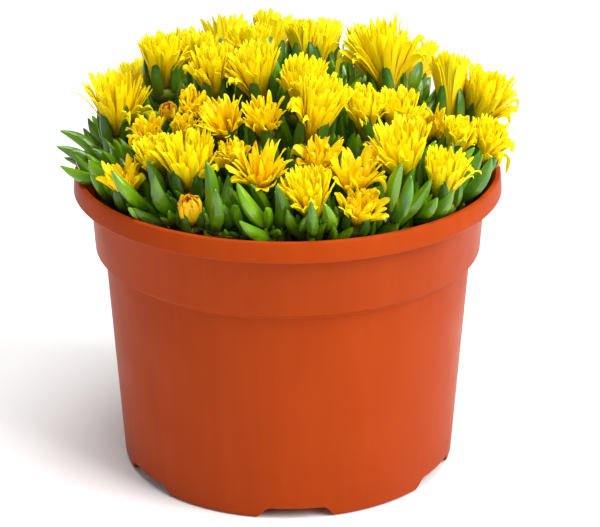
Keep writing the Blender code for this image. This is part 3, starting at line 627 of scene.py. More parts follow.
def at(bloom, radius, bearing, height):
    """A point of a flower, in turns round its axis and up it."""
    across = bloom["side"] * math.cos(bearing) + bloom["other"] * math.sin(bearing)
    return bloom["throat"] + bloom["axis"] * height + across * radius


def spine(bloom):
    """Stations down a flower's axis, from the foot of its cup to its tips."""
    foot = -SPINE_FOOT * bloom["scale"]
    return [
        bloom["throat"] + bloom["axis"] * (foot + (bloom["length"] - foot) * step / SPINE_STEPS)
        for step in range(SPINE_STEPS + 1)
    ]


def part_neighbours(blooms):
    """Give each pair of near flowers a plane between them that neither crosses."""
    for number, one in enumerate(blooms):
        for other in blooms[number + 1:]:
            span, first, second = min(
                (((a - b).length, a, b) for a in spine(one) for b in spine(other)),
                key=lambda found: found[0])
            if span > one["spread"] + other["spread"] + NEAR:
                continue
            share = one["spread"] / (one["spread"] + other["spread"])
            share = min(1 - LEAST_SHARE, max(LEAST_SHARE, share))
            point = first.lerp(second, share)
            normal = (second - first).normalized()
            one["walls"].append((point, normal))
            other["walls"].append((point, -normal))
    for bloom in blooms:
        for direction, reach in ((Vector((1, 0, 0)), REACH_SIDE), (Vector((0, 1, 0)), REACH_FRONT)):
            bloom["walls"].append((direction * reach, direction))
            bloom["walls"].append((direction * -reach, -direction))


def kept_in(bloom, points, margin):
    """Points drawn in towards a flower's axis where they would leave its own space."""
    throat = np.array(bloom["throat"])
    axis = np.array(bloom["axis"])
    height = (points - throat) @ axis
    foot = throat + np.outer(height, axis)
    radial = points - foot
    radius = np.linalg.norm(radial, axis=1)
    way = radial / np.maximum(radius, 1e-9)[:, None]
    for wall, normal in bloom["walls"]:
        slope = way @ np.array(normal)
        facing = slope > LEAST_SLOPE
        most = ((np.array(wall) - foot) @ np.array(normal) - margin) / np.where(facing, slope, 1)
        share = radius / np.maximum(most, 0.001 * MM)
        bent = most * (SOFT_SHARE + (1 - SOFT_SHARE) * np.tanh((share - SOFT_SHARE) / (1 - SOFT_SHARE)))
        radius = np.where(facing & (radius > SOFT_SHARE * most), bent, radius)
    return foot + way * radius[:, None]


def bezier(stations, share):
    """Points of a cubic curve through its first and last station, and the way that it goes there."""
    a, b, c, d = (np.array(station) for station in stations)
    s = share[:, None]
    place = (1 - s) ** 3 * a + 3 * s * (1 - s) ** 2 * b + 3 * s ** 2 * (1 - s) * c + s ** 3 * d
    slope = 3 * (1 - s) ** 2 * (b - a) + 6 * s * (1 - s) * (c - b) + 3 * s ** 2 * (d - c)
    return place, slope / np.linalg.norm(slope, axis=1)[:, None]


def petal_points(master, bloom, bearing, path, width, twist, sway, layer):
    """A petal laid along its path, in a layer of its own where petals press together."""
    share = master.points[:, 1]
    place, slope = bezier(path, share)
    fallen = max(0.0, path[2][1] - path[3][1])
    place[:, 0] -= HANG_TUCK * fallen * np.clip(share / 0.3 - 2.3, 0, 1) ** 2
    hung = min(1, fallen / bloom["length"] / HANG_FULL)
    turn = twist * share ** 2 + math.copysign(HANG_TWIST * hung, twist) * share
    wide = master.points[:, 0] * np.cos(turn) - master.points[:, 2] * np.sin(turn)
    thick = master.points[:, 0] * np.sin(turn) + master.points[:, 2] * np.cos(turn)
    throat, axis, side, other = (np.array(bloom[key]) for key in ("throat", "axis", "side", "other"))
    outward = side * math.cos(bearing) + other * math.sin(bearing)
    tangent = side * math.sin(bearing) - other * math.cos(bearing)
    radius = place[:, 0] - slope[:, 1] * thick * width
    height = place[:, 1] + slope[:, 0] * thick * width
    sideways = wide * width + sway * share ** 2
    points = throat + np.outer(height, axis) + np.outer(radius, outward) + np.outer(sideways, tangent)
    return kept_in(bloom, points, layer - PETAL_MINGLE)


def free_radius(bloom, bearing, height, wished):
    """The wished radius of a petal's tip, or less where a neighbour stands near."""
    point = np.array([at(bloom, wished, bearing, height)])
    fitted = kept_in(bloom, point, 0.5 * MM - PETAL_MINGLE)[0] - np.array(at(bloom, 0, 0, height))
    return max(float(np.linalg.norm(fitted)), 0.5 * MM)


def tube_of(bloom):
    """Height and radius of the tube that a flower's petals form before they part."""
    kind = KINDS[bloom["kind"]]
    radius = kind["throat"] + kind["opening"] * (bloom["spread"] - kind["throat"])
    return bloom["length"] * kind["tube"], radius


def ring_share(foot):
    """How wide a ring of petals stands as a share of the outer ring, from where its petals start."""
    return RING_LEAST + (1 - RING_LEAST) * foot


def petal_path(bloom, bearing, ring, hang, draw):
    """A petal's line from its foot up the tube and out to its tip, as radius and height."""
    _, foot, reach, rise, _, most_hang = ring
    kind, length = KINDS[bloom["kind"]], bloom["length"]
    tube_height, tube_radius = tube_of(bloom)
    drop = length * most_hang * hang * draw.random() ** kind["stiff"]
    top = length * draw.uniform(*rise)
    wished = bloom["spread"] * draw.uniform(*reach)
    tip_radius = free_radius(bloom, bearing, top - drop, wished + HANG_REACH * drop)
    least = HANG_ROOM * wished
    drop *= max(0.05, (tip_radius - least) / (wished + HANG_REACH * drop - least))
    tip_radius = free_radius(bloom, bearing, top - drop, wished + HANG_REACH * drop)
    inner = kind["throat"] * foot
    belly = min(tube_radius * ring_share(foot), 0.75 * tip_radius + 0.25 * inner)
    shoulder = belly + (0.35 + 0.45 * min(1, drop / (0.2 * length))) * (tip_radius - belly)
    return (
        (inner * PETAL_FOOT, -PETAL_SUNK),
        (max(inner, belly * 0.95), tube_height * PETAL_WAIST),
        (shoulder, top * PETAL_SHOULDER + drop * draw.uniform(*HANG_ARCH)),
        (tip_radius, top - drop),
    )


def bud_path(bloom, bearing, ring, draw):
    """A bud's petal: out round its belly and in again to its tip."""
    _, foot, reach, rise, _, _ = ring
    length, throat = bloom["length"], KINDS["bud"]["throat"]
    belly = free_radius(bloom, bearing, 0.5 * length, bloom["spread"] * BUD_BELLY) * ring_share(foot)
    return (
        (throat * foot * PETAL_FOOT, -PETAL_SUNK),
        (belly * draw.uniform(*BUD_WAIST), length * 0.15),
        (belly * draw.uniform(*BUD_SHOULDER), length * draw.uniform(*BUD_SHOULDER_RISE)),
        (belly * draw.uniform(*reach), length * draw.uniform(*rise)),
    )


def over_rim(points):
    """Petal points lifted clear of the pot's rim."""
    least = np.interp(np.hypot(points[:, 0], points[:, 1]), *RIM_CLEAR)
    points[:, 2] = np.maximum(points[:, 2], least)
    return points


def limp_way(number, bloom, draw):
    """The bearing to which a flower's petals hang, how limp they are and on how many sides."""
    side, limpness, sides = draw.uniform(0, math.tau), draw.uniform(0.5, 1.1), 1
    if number in LIMP:
        way, limpness, sides = LIMP[number]
        towards = Vector((math.cos(math.radians(way)), math.sin(math.radians(way)), 0))
        side = math.atan2(towards.dot(bloom["other"]), towards.dot(bloom["side"]))
    return side, limpness, sides


def make_petals(number, bloom, petal, draw, coats):
    """All the petals of one flower, ring by ring from the outside in."""
    heap = Heap()
    kind = KINDS[bloom["kind"]]
    tufts, loose = kind["tufts"], kind["loose"]
    limp_side, limpness, sides = limp_way(number, bloom, draw)
    for ring in PETAL_RINGS[bloom["kind"]]:
        count, width = ring[0], ring[4] * MM
        start = draw.uniform(0, math.tau)
        for petal_number in range(count):
            bearing = start + math.tau * (petal_number + draw.uniform(-0.4, 0.4)) / count
            bearing -= kind["gathering"] * math.sin(tufts * (bearing - limp_side)) / tufts
            hang = limpness * (0.5 + 0.5 * math.cos(sides * (bearing - limp_side))) ** kind["narrow"]
            tone = draw.random()
            if bloom["kind"] == "bud":
                path = bud_path(bloom, bearing, ring, draw)
            else:
                path = petal_path(bloom, bearing, ring, hang, draw)
            points = petal_points(
                petal, bloom, bearing, path, width * draw.uniform(0.8, 1.2),
                draw.uniform(-0.6, 0.6) * loose, draw.uniform(-1.1, 1.1) * loose * MM, PETAL_LAYERS * tone)
            heap.add(petal, over_rim(points), (tone * TONE_MIX) % 1)
    name = f"bloom_{number:02d}"
    return heap.piece(f"{name}_petals", [coats[bloom["kind"]]], "petal_yellow", name)


# Leaves, cups and stems

def crowns():
    """Where each clump comes out of the soil."""
    places = []
    for count, radius, start in CROWN_RINGS:
        for number in range(count):
            bearing = math.radians(start) + math.tau * number / count
            places.append(Vector(round_pot(radius, bearing)))
    return places


def nearest(places, point):
    return min(range(len(places)), key=lambda number: (places[number].xy - point.xy).length)


def stem_foot(crown, head):
    """Where a stem starts, inside its crown on the side it leaves by."""
    foot = Vector((crown.x, crown.y, CROWN_TOP - STEM_SUNK))
    away = Vector((head.x - crown.x, head.y - crown.y, 0))
    if away.length > 1 * MM:
        foot += away.normalized() * CROWN_RADIUS * STEM_ASIDE
    return foot


def read_leaf(tip):
    """The leaf that ends at a sharp point of a clump's solid, or none."""
    corners = [edge.other_vert(tip).co for edge in tip.link_edges]
    if len(corners) != 4 or min((corner - tip.co).length for corner in corners) < LEAST_EDGE:
        return None
    pairs = [(a, b) for number, a in enumerate(corners) for b in corners[number + 1:]]
    left, right = max(pairs, key=lambda pair: (pair[0] - pair[1]).length)
    keel = [corner for corner in corners if corner is not left and corner is not right]
    if (left - right).length > WIDEST_LEAF or (keel[0] - keel[1]).length > WIDEST_KEEL:
        return None
    flat = (left + right) / 2
    depth = flat - (keel[0] + keel[1]) / 2
    across = (left - right).normalized()
    inward = depth.normalized()
    forward = inward.cross(across)
    ahead = tip.co - flat
    if ahead.dot(forward) < 0:
        forward = -forward
    length = ahead.dot(forward) / (1 - LEAF_BELLY)
    bend = ahead.dot(inward) / (1 - LEAF_BELLY ** 2)
    root = tip.co - forward * length - inward * bend
    longest = LEAF_LONGEST
    if root.x < LEFT_CLUSTER:
        longest = LEFT_UPRIGHT if forward.z > STEEP else length
    return {
        "root": root, "forward": forward, "inward": inward, "across": forward.cross(inward),
        "length": min(length, longest), "bend": bend,
        "width": (left - right).length * LEAF_SLIM, "depth": depth.length * LEAF_PLUMP,
    }


def read_leaves(node):
    """Every leaf of a clump, read from the tips of its solid."""
    shape = bmesh.new()
    shape.from_mesh(node.data)
    bmesh.ops.remove_doubles(shape, verts=shape.verts, dist=0.005 * MM)
    leaves = [leaf for leaf in map(read_leaf, shape.verts) if leaf]
    shape.free()
    return leaves


def leaf_points(master, leaf):
    """A leaf laid along its line, bent in towards its shoot."""
    across, share, deep = master.points.T
    root, forward, inward, side = (np.array(leaf[key]) for key in ("root", "forward", "inward", "across"))
    return (root + np.outer(share * leaf["length"], forward)
            + np.outer(leaf["bend"] * share ** 2 + deep * leaf["depth"], inward)
            + np.outer(across * leaf["width"], side))


def within_rim(points):
    """Leaf points drawn in to where the inside of the rim leaves room."""
    reach = np.hypot(points[:, 0], points[:, 1])
    points[:, :2] *= np.minimum(1, np.interp(points[:, 2], *RIM_INSIDE) / reach)[:, None]
    return points


def between(master, foot, head, foot_radius, head_radius):
    """A master laid from one point to another, with its radius going from one value to the other."""
    along = head - foot
    side = along.orthogonal().normalized()
    other = side.cross(along.normalized())
    radius = foot_radius + (head_radius - foot_radius) * master.points[:, 1]
    return (np.array(foot) + np.outer(master.points[:, 1], np.array(along))
            + np.outer(master.points[:, 0] * radius, np.array(side))
            + np.outer(master.points[:, 2] * radius, np.array(other)))


def cup_sizes(bloom):
    """Radius of a cup's rim, height of its sepals and the radius of their tips."""
    throat = KINDS[bloom["kind"]]["throat"]
    tube_height, tube_radius = tube_of(bloom)
    sepal_height = min(SEPAL_LENGTH, 1.2 * tube_height)
    at_sepal = throat + (tube_radius - throat) * sepal_height / tube_height
    return throat + CUP_MARGIN, sepal_height, at_sepal + 0.6 * MM


def leaf_on(root, forward, outward, length, bend, width, depth):
    """A leaf that stands out to one side: its root, its three directions and its sizes."""
    across = outward.cross(forward).normalized()
    return {
        "root": root, "forward": forward, "inward": across.cross(forward), "across": across,
        "length": length, "bend": bend, "width": width, "depth": depth,
    }


def sepal(bloom, bearing, draw):
    """A sepal as a short leaf that stands on the cup's rim against the petals."""
    rim, height, tip_radius = cup_sizes(bloom)
    root = at(bloom, rim - SEPAL_ROOT[0], bearing, -SEPAL_ROOT[1])
    tip = at(bloom, tip_radius + SEPAL_STANDS_OFF, bearing, height * draw.uniform(*SEPAL_RISE))
    forward = (tip - root).normalized()
    outward = at(bloom, 1, bearing, 0) - at(bloom, 0, bearing, 0)
    width = 2 * rim * math.sin(math.pi / SEPALS) * draw.uniform(*SEPAL_SLIM)
    return leaf_on(root, forward, outward, (tip - root).length, SEPAL_BEND, width, SEPAL_DEPTH)


def shoots_of(leaves):
    """Group a clump's leaves by the shoot that they stand on."""
    groups = []
    for leaf in sorted(leaves, key=lambda leaf: leaf["root"].z):
        near = [group for group in groups if (group[0]["root"] - leaf["root"]).length < SHOOT_REACH]
        if near:
            near[0].append(leaf)
        else:
            groups.append([leaf])
    return groups


class Room:
    """The space that leaves and flowers take, as balls along their middles."""

    def __init__(self):
        self.centres = np.empty((0, 3))
        self.radii = np.empty(0)

    def take(self, balls):
        self.centres = np.vstack([self.centres, [centre[:] for centre, _ in balls]])
        self.radii = np.append(self.radii, [radius for _, radius in balls])

    def free(self, balls):
        for centre, radius in balls:
            apart = np.linalg.norm(self.centres - np.array(centre), axis=1)
            if (apart < self.radii + radius - SPRIG_OVERLAP).any():
                return False
        return True


def leaf_balls(leaf):
    """Balls along the middle of a leaf."""
    return [
        (leaf["root"] + leaf["forward"] * leaf["length"] * share
         + leaf["inward"] * (leaf["bend"] * share ** 2 - leaf["depth"] * 0.4), leaf["width"] / 2 * fullness)
        for share, fullness in LEAF_BALLS
    ]


def bloom_balls(bloom):
    """Balls up a flower's middle, as wide as it is there."""
    throat, widest = KINDS[bloom["kind"]]["throat"], bloom["spread"] * 0.9
    return [
        (at(bloom, 0, 0, bloom["length"] * height), min(throat * radius, widest))
        for height, radius in BLOOM_BALLS
    ]


def sprig_leaf(root, axis, bearing, opening, draw):
    """A small plump leaf that leaves a sprig's tip on one side."""
    length = draw.uniform(*SPRIG_LEAF)
    side = axis.orthogonal().normalized()
    outward = side * math.cos(bearing) + axis.cross(side) * math.sin(bearing)
    forward = (axis * math.cos(opening) + outward * math.sin(opening)).normalized()
    sizes = [length * draw.uniform(*share) for share in (SPRIG_BEND, SPRIG_WIDTH, SPRIG_DEPTH)]
    return leaf_on(root, forward, outward, length, *sizes)


def inside_pot(leaf):
    """Whether a leaf keeps clear of the pot's wall and rim, and inside the plant's own reach."""
    for centre, radius in leaf_balls(leaf):
        if abs(centre.x) + radius > REACH_SIDE or abs(centre.y) + radius > REACH_FRONT:
            return False
        room = SPRIG_REACH + max(0, centre.z - CROWN_TOP) * RIM_SLOPE
        if centre.z < POT_CLEAR and Vector((centre.x, centre.y)).length + radius > room:
            return False
    return True


def sprig_root(draw, by_rim):
    """A place for a sprig's foot, just inside the rim or anywhere under the flowers."""
    bearing = draw.uniform(0, math.tau)
    out = draw.uniform(*RIM_SPRIG_BAND) if by_rim else SPRIG_REACH * math.sqrt(draw.random())
    root = Vector(round_pot(out, bearing))
    top = cushion_height(root.x, root.y) - SPRIG_BELOW
    heights = RIM_SPRIG_HEIGHT if by_rim else (SOIL_TOP + 3 * MM, max(top, SOIL_TOP + 6 * MM))
    root.z = draw.uniform(*heights)
    return root


def grow_sprig(room, draw, by_rim):
    """A try at a sprig of one or two leaf pairs in a gap, or none where there is no room."""
    root = sprig_root(draw, by_rim)
    lean = SPRIG_LEAN * root.xy.length / SPRIG_REACH
    axis = Vector((
        root.x / SPRIG_REACH * lean + draw.uniform(-0.2, 0.2),
        root.y / SPRIG_REACH * lean + draw.uniform(-0.2, 0.2), 1)).normalized()
    turn = draw.uniform(0, math.tau)
    leaves = []
    for tier in range(2):
        opening = draw.uniform(*SPRIG_OPENING) - 0.3 * tier
        foot = root + axis * tier * SPRIG_TIER
        for half in range(2):
            leaf = sprig_leaf(foot, axis, turn + tier * math.pi / 2 + half * math.pi, opening, draw)
            if inside_pot(leaf) and room.free(leaf_balls(leaf)):
                leaves.append(leaf)
    return {"root": root, "axis": axis, "leaves": leaves} if len(leaves) > 1 else None


def rim_sprig():
    """A single leaf that lies over the rim."""
    root, tip, curl, width, depth = (np.array(value) * MM for value in RIM_LEAF)
    root, up = Vector(root), Vector((0, 0, 1))
    along = Vector(tip) - root - up * float(curl)
    forward = along.normalized()
    inward = (up - forward * forward.z).normalized()
    leaf = {"root": root, "forward": forward, "inward": inward, "across": forward.cross(inward),
            "length": along.length, "bend": float(curl), "width": float(width), "depth": float(depth)}
    return {"root": root, "axis": up, "leaves": [leaf]}


def grow_sprigs(blooms, clump_leaves, draw):
    """Small sprigs in the gaps that the flowers and the solids' own leaves leave."""
    room = Room()
    sprigs = [rim_sprig()]
    for bloom in blooms:
        room.take(bloom_balls(bloom))
    for leaves in [*clump_leaves, sprigs[0]["leaves"]]:
        for leaf in leaves:
            room.take(leaf_balls(leaf))
    for number in range(RIM_SPRIG_TRIES + SPRIG_TRIES):
        sprig = grow_sprig(room, draw, number < RIM_SPRIG_TRIES)
        if sprig:
            for leaf in sprig["leaves"]:
                room.take(leaf_balls(leaf))
            sprigs.append(sprig)
    return sprigs


def add_shoots(heap, place, leaves, masters, draw):
    """A clump's shoots, from its crown up through their leaves."""
    stem, leaf_shape = masters["stem"], masters["leaf"]
    for group in shoots_of(leaves):
        low, high = group[0]["root"], group[-1]["root"]
        head = high + (high - low) * 0.3 + Vector((0, 0, SHOOT_PAST))
        heap.stalk(stem, stem_foot(place, low), low, STEM_RADII, draw.random(), STEM)
        heap.stalk(stem, low, head, (STEM_RADIUS, STEM_RADIUS * SHOOT_TAPER), draw.random(), STEM)
    for leaf in leaves:
        # Leaves of the left cluster take only the darker tones: painted shade on the side away from the key
        # lamp
        tone = draw.random() * (LEFT_PAINTED_SHADE if leaf["root"].x < LEFT_CLUSTER else 1)
        heap.add(leaf_shape, within_rim(leaf_points(leaf_shape, leaf)), tone, LEAF)


def add_sprig(heap, sprig, masters, draw):
    """A small sprig on a thin stem that comes out of the soil."""
    root, leaf_shape = sprig["root"], masters["leaf"]
    ground = Vector((root.x * SPRIG_INWARD, root.y * SPRIG_INWARD, SOIL_TOP - 1 * MM))
    heap.stalk(masters["stem"], ground, root + sprig["axis"] * 3 * MM, SPRIG_STEM, draw.random(), STEM)
    for leaf in sprig["leaves"]:
        heap.add(leaf_shape, within_rim(leaf_points(leaf_shape, leaf)), draw.random(), LEAF)


def add_cup(heap, place, bloom, masters, draw):
    """A flower's stem, its cup and its sepals."""
    neck = at(bloom, 0, 0, -CUP_DEPTH * bloom["scale"])
    rim = cup_sizes(bloom)[0]
    heap.stalk(masters["stem"], stem_foot(place, neck), neck, STEM_RADII, draw.random(), STEM)
    cup = between(masters["cup"], neck - bloom["axis"] * CUP_OVERLAP, at(bloom, 0, 0, CUP_TOP), rim, rim)
    heap.add(masters["cup"], kept_in(bloom, cup, GAP), draw.random(), STEM)
    turn = draw.uniform(0, math.tau)
    for side in range(SEPALS):
        bearing = turn + math.tau * (side + draw.uniform(*SEPAL_STRAY)) / SEPALS
        points = leaf_points(masters["sepal"], sepal(bloom, bearing, draw))
        heap.add(masters["sepal"], kept_in(bloom, points, 0.1 * MM), draw.random(), SEPAL)


def make_clump(number, place, blooms, leaves, sprigs, masters, coats, draw):
    """One clump: its crown, its shoots with their leaves, and its flowers' stems and cups."""
    heap = Heap(GREEN_CREASE)
    foot, top = (Vector((place.x, place.y, height)) for height in (CROWN_FOOT, CROWN_TOP - 0.5 * MM))
    heap.stalk(masters["stem"], foot, top, (CROWN_RADIUS, CROWN_RADIUS * CROWN_TAPER), 0.5, CROWN)
    add_shoots(heap, place, leaves, masters, draw)
    for sprig in sprigs:
        add_sprig(heap, sprig, masters, draw)
    for bloom in blooms:
        add_cup(heap, place, bloom, masters, draw)
    node = f"clump_{number:02d}"
    return heap.piece(f"{node}_green", coats, "leaf_green", node)


# Pot and soil

def turned(name, sides, stations):
    """A turned body, left in edit mode: a disc extruded through its stations of (radius, height)."""
    radius, height = stations[0]
    body = opened(bpy.ops.mesh.primitive_circle_add, name, whole=True, vertices=sides, radius=radius * MM,
                  fill_type="NGON", location=(0, 0, height * MM))
    grown(stations[0], stations[1:], MM)
    return body


def make_pot(coat):
    """The pot, turned, with notches in its foot ring and drain holes between them in its floor."""
    pot = turned("pot_shell", POT_SIDES, POT_SECTION)
    bpy.ops.mesh.select_all(action="SELECT")
    bpy.ops.mesh.normals_make_consistent(inside=False)
    out_of_edit()
    for number in range(NOTCHES):
        bearing = math.radians(-90) + NOTCH_TURN + math.tau * number / NOTCHES
        modified(pot, "BOOLEAN", object=notch_cutter(bearing), operation="DIFFERENCE")
        modified(pot, "BOOLEAN", object=drain_cutter(bearing + math.pi / NOTCHES), operation="DIFFERENCE")
    for cutter in [thing for thing in bpy.data.objects if thing.name.startswith("cutter")]:
        bpy.data.objects.remove(cutter, do_unlink=True)
    return finished(pot, coat, POT_CREASE, "terracotta_plastic", "pot")


def notch_cutter(bearing):
    """A wedge with rounded corners that opens the foot ring."""
    slope = (NOTCH_FOOT_WIDTH - NOTCH_TOP_WIDTH) / NOTCH_HEIGHT / 2
    depth = NOTCH_HEIGHT + CUT_PAST
    cutter = added(bpy.ops.mesh.primitive_cube_add, "cutter_notch", size=1.0)
    into_edit(cutter, whole=True)
    widen((NOTCH_CUT, NOTCH_TOP_WIDTH, depth))
    shift(x=FOOT_RADIUS, z=(NOTCH_HEIGHT - CUT_PAST) / 2)
    choose(cutter, lambda place: place.z < 0)
    widen((1, 1 + 2 * slope * depth / NOTCH_TOP_WIDTH, 1), (FOOT_RADIUS, 0, 0))
    choose(cutter, lambda place: place.z > 0)
    bpy.ops.mesh.select_mode(type="EDGE")
    bpy.ops.mesh.bevel(offset=NOTCH_ROUNDING, segments=5)
    bpy.ops.mesh.select_all(action="SELECT")
    bpy.ops.mesh.normals_make_consistent(inside=False)
    out_of_edit()
    cutter.rotation_euler.z = bearing
    placed(cutter)
    return cutter


def drain_cutter(bearing):
    return added(bpy.ops.mesh.primitive_cylinder_add, "cutter_drain", vertices=24, radius=DRAIN_RADIUS,
                 depth=6 * MM, location=round_pot(DRAIN_CIRCLE, bearing, 6 * MM))


def make_soil(coat):
    """The compost's body, with a lumpy top."""
    top = SOIL_SECTION[-1][1]
    soil = turned("soil_bed", SOIL_SIDES, SOIL_SECTION + tuple((radius, top) for radius in SOIL_RINGS))
    bpy.ops.mesh.merge(type="CENTER")
    out_of_edit()
    outwards(soil)
    draw = random.Random(SEED + 1)
    waves = [(draw.uniform(*WAVE_PITCHES), draw.uniform(0, math.tau), draw.uniform(0, math.tau))
             for _ in range(WAVES)]
    for vert in soil.data.vertices:
        if vert.co.z > SOIL_TOP - 3 * MM:
            rise = sum(
                math.sin(pitch * (vert.co.x * math.cos(way) + vert.co.y * math.sin(way)) + start) / pitch
                for pitch, way, start in waves)
            vert.co.z += WAVE_HEIGHT * rise
    return finished(soil, coat, SOFT_CREASE, "compost", "soil")


def make_crumbs(crumb, coat):
    """Crumbs of compost strewn over the bed."""
    heap = Heap()
    draw = random.Random(SEED + 2)
    for _ in range(CRUMBS):
        radius = CRUMB_REACH * math.sqrt(draw.random())
        middle = np.array(round_pot(radius, draw.uniform(0, math.tau), SOIL_TOP + 0.2 * MM))
        size = draw.choice(CRUMB_SIZES) * MM
        stretch = np.array([draw.uniform(*span) for span in CRUMB_STRETCHES]) * size
        turn = draw.uniform(0, math.tau)
        x, y, z = (crumb.points * stretch).T
        shape = (x * math.cos(turn) - y * math.sin(turn), x * math.sin(turn) + y * math.cos(turn), z)
        heap.add(crumb, np.column_stack(shape) + middle, draw.random())
    return heap.piece("soil_crumbs", [coat], "compost")


def thread_between(ends, draw):
    """A thin dry root from one end to the other, each given as radius, bearing and height."""
    bpy.ops.object.select_all(action="DESELECT")
    bpy.ops.curve.primitive_bezier_curve_add()
    thread = bpy.context.object
    thread.data.bevel_depth = draw.uniform(*ROOT_RADII) * MM
    thread.data.bevel_resolution = 0
    thread.data.resolution_u = 10
    thread.data.use_fill_caps = True
    for (reach, turn, height), point in zip(ends, thread.data.splines[0].bezier_points):
        point.handle_left_type = point.handle_right_type = "FREE"
        point.co = round_pot(reach, turn, height)
        for side, handle in ((-1, "handle_left"), (1, "handle_right")):
            bend = Vector((draw.uniform(-3, 3), draw.uniform(-3, 3), draw.uniform(0, 2))) * MM
            along = Vector((-math.sin(turn), math.cos(turn), 0)) * side * ROOT_HANDLE
            setattr(point, handle, point.co + along + bend)
    bpy.ops.object.convert(target="MESH")
    return bpy.context.object


def root_end(bearing, reaches, base, heights, draw):
    """One end of a dry root, at a drawn distance from the pot's axis and a drawn height over a base."""
    return draw.uniform(*reaches) * MM, bearing, base + draw.uniform(*heights) * MM


def make_threads(coat):
    """Dry roots on the compost, and those that stick out between the leaves and over the rim's edge."""
    draw = random.Random(SEED + 3)
    threads = []
    for _ in range(DRY_ROOTS):
        bearing, span = draw.uniform(0, math.tau), draw.uniform(*SOIL_ROOT_SPAN)
        ends = [root_end(turn, *SOIL_ROOT_END, draw) for turn in (bearing, bearing + span)]
        threads.append(thread_between(ends, draw))
    for _ in range(RIM_ROOTS):
        bearing, span = math.radians(draw.uniform(*RIM_ROOT_BEARINGS)), draw.uniform(*RIM_ROOT_SPAN)
        turns = (bearing, bearing + span)
        ends = [root_end(turn, *end, draw) for turn, end in zip(turns, RIM_ROOT_ENDS)]
        threads.append(thread_between(ends, draw))
    bpy.ops.object.select_all(action="DESELECT")
    for thread in threads:
        thread.select_set(True)
    bpy.context.view_layer.objects.active = threads[0]
    bpy.ops.object.join()
    joined = bpy.context.object
    joined.name = "dry_roots"
    outwards(joined)
    placed(joined)
    return finished(joined, coat, SOFT_CREASE, "compost")


# Materials

class Coat:
    """A Principled material and short words for its nodes."""

    def __init__(self, name, roughness, **sockets):
        self.material = bpy.data.materials.new(name)
        self.material.use_nodes = True
        self.tree = self.material.node_tree
        self.shader = self.tree.nodes["Principled BSDF"]
        self.shader.inputs["Roughness"].default_value = roughness
        for socket, value in sockets.items():
            self.shader.inputs[socket.replace("_", " ")].default_value = value

    def node(self, kind, **inputs):
        node = self.tree.nodes.new(kind)
        for key, value in inputs.items():
            self.feed(node, key.replace("_", " "), value)
        return node

    def feed(self, node, key, value):
        if isinstance(value, bpy.types.NodeSocket):
            self.tree.links.new(value, node.inputs[key])
        else:
            node.inputs[key].default_value = value

    def attribute(self, word):
        node = self.tree.nodes.new("ShaderNodeAttribute")
        node.attribute_name = word
        return node.outputs["Fac"]

    def place(self, scale):
        """Object coordinates, scaled."""
        coordinates = self.tree.nodes.new("ShaderNodeTexCoord")
        mapping = self.node("ShaderNodeMapping", Vector=coordinates.outputs["Object"], Scale=scale)
        return mapping.outputs["Vector"]

    def noise(self, scale, detail=3.0, roughness=0.5, stretch=(1, 1, 1), vector=None):
        """Noise over the piece, drawn out by a stretch, or over a vector of its own."""
        if vector is None:
            vector = self.place(stretch)
        node = self.node("ShaderNodeTexNoise", Vector=vector, Scale=scale, Detail=detail, Roughness=roughness)
        return node.outputs["Fac"]

    def ramp(self, value, stops):
        """Colours or greys along a value."""
        node = self.node("ShaderNodeValToRGB", Fac=value)
        ramp = node.color_ramp
        while len(ramp.elements) < len(stops):
            ramp.elements.new(0.5)
        for element, (place, colour) in zip(ramp.elements, stops):
            element.position = place
            element.color = (*colour, 1) if len(colour) == 3 else (colour[0],) * 3 + (1,)
        return node.outputs["Color"]

    def fade(self, value, start, end, most=1.0):
        """A share that rises from none to the most as a value goes from start to end."""
        return self.ramp(value, ((start, (0.0,)), (end, (most,))))

    def flecked(self, base, flecks, scale, start, end, most):
        """A base colour with flecks of another over it."""
        return self.mix(self.fade(self.noise(scale), start, end, most), base, flecks)

    def mix(self, share, first, second, blend="MIX"):
        node = self.tree.nodes.new("ShaderNodeMix")
        node.data_type = "RGBA"
        node.blend_type = blend
        for key, value in ((0, share), (6, first), (7, second)):
            if isinstance(value, bpy.types.NodeSocket):
                self.tree.links.new(value, node.inputs[key])
            else:
                node.inputs[key].default_value = (*value, 1) if key else value
        return node.outputs[2]

    def bump(self, height, strength, distance):
        node = self.node("ShaderNodeBump", Height=height, Strength=strength, Distance=distance)
        self.tree.links.new(node.outputs["Normal"], self.shader.inputs["Normal"])

    def colour(self, socket):
        self.tree.links.new(socket, self.shader.inputs["Base Color"])

    def sheen_of(self, socket):
        self.tree.links.new(socket, self.shader.inputs["Roughness"])


def streaks(coat, along_scale, across_scale):
    """Noise drawn out along a petal."""
    joined = coat.node("ShaderNodeCombineXYZ")
    for key, word, scale in (("X", "across", across_scale), ("Y", "along", along_scale), ("Z", "tone", 9.0)):
        scaled = coat.tree.nodes.new("ShaderNodeMath")
        scaled.operation = "MULTIPLY"
        scaled.inputs[1].default_value = scale
        coat.tree.links.new(coat.attribute(word), scaled.inputs[0])
        coat.tree.links.new(scaled.outputs[0], joined.inputs[key])
    return coat.noise(1.0, 2.0, vector=joined.outputs[0])


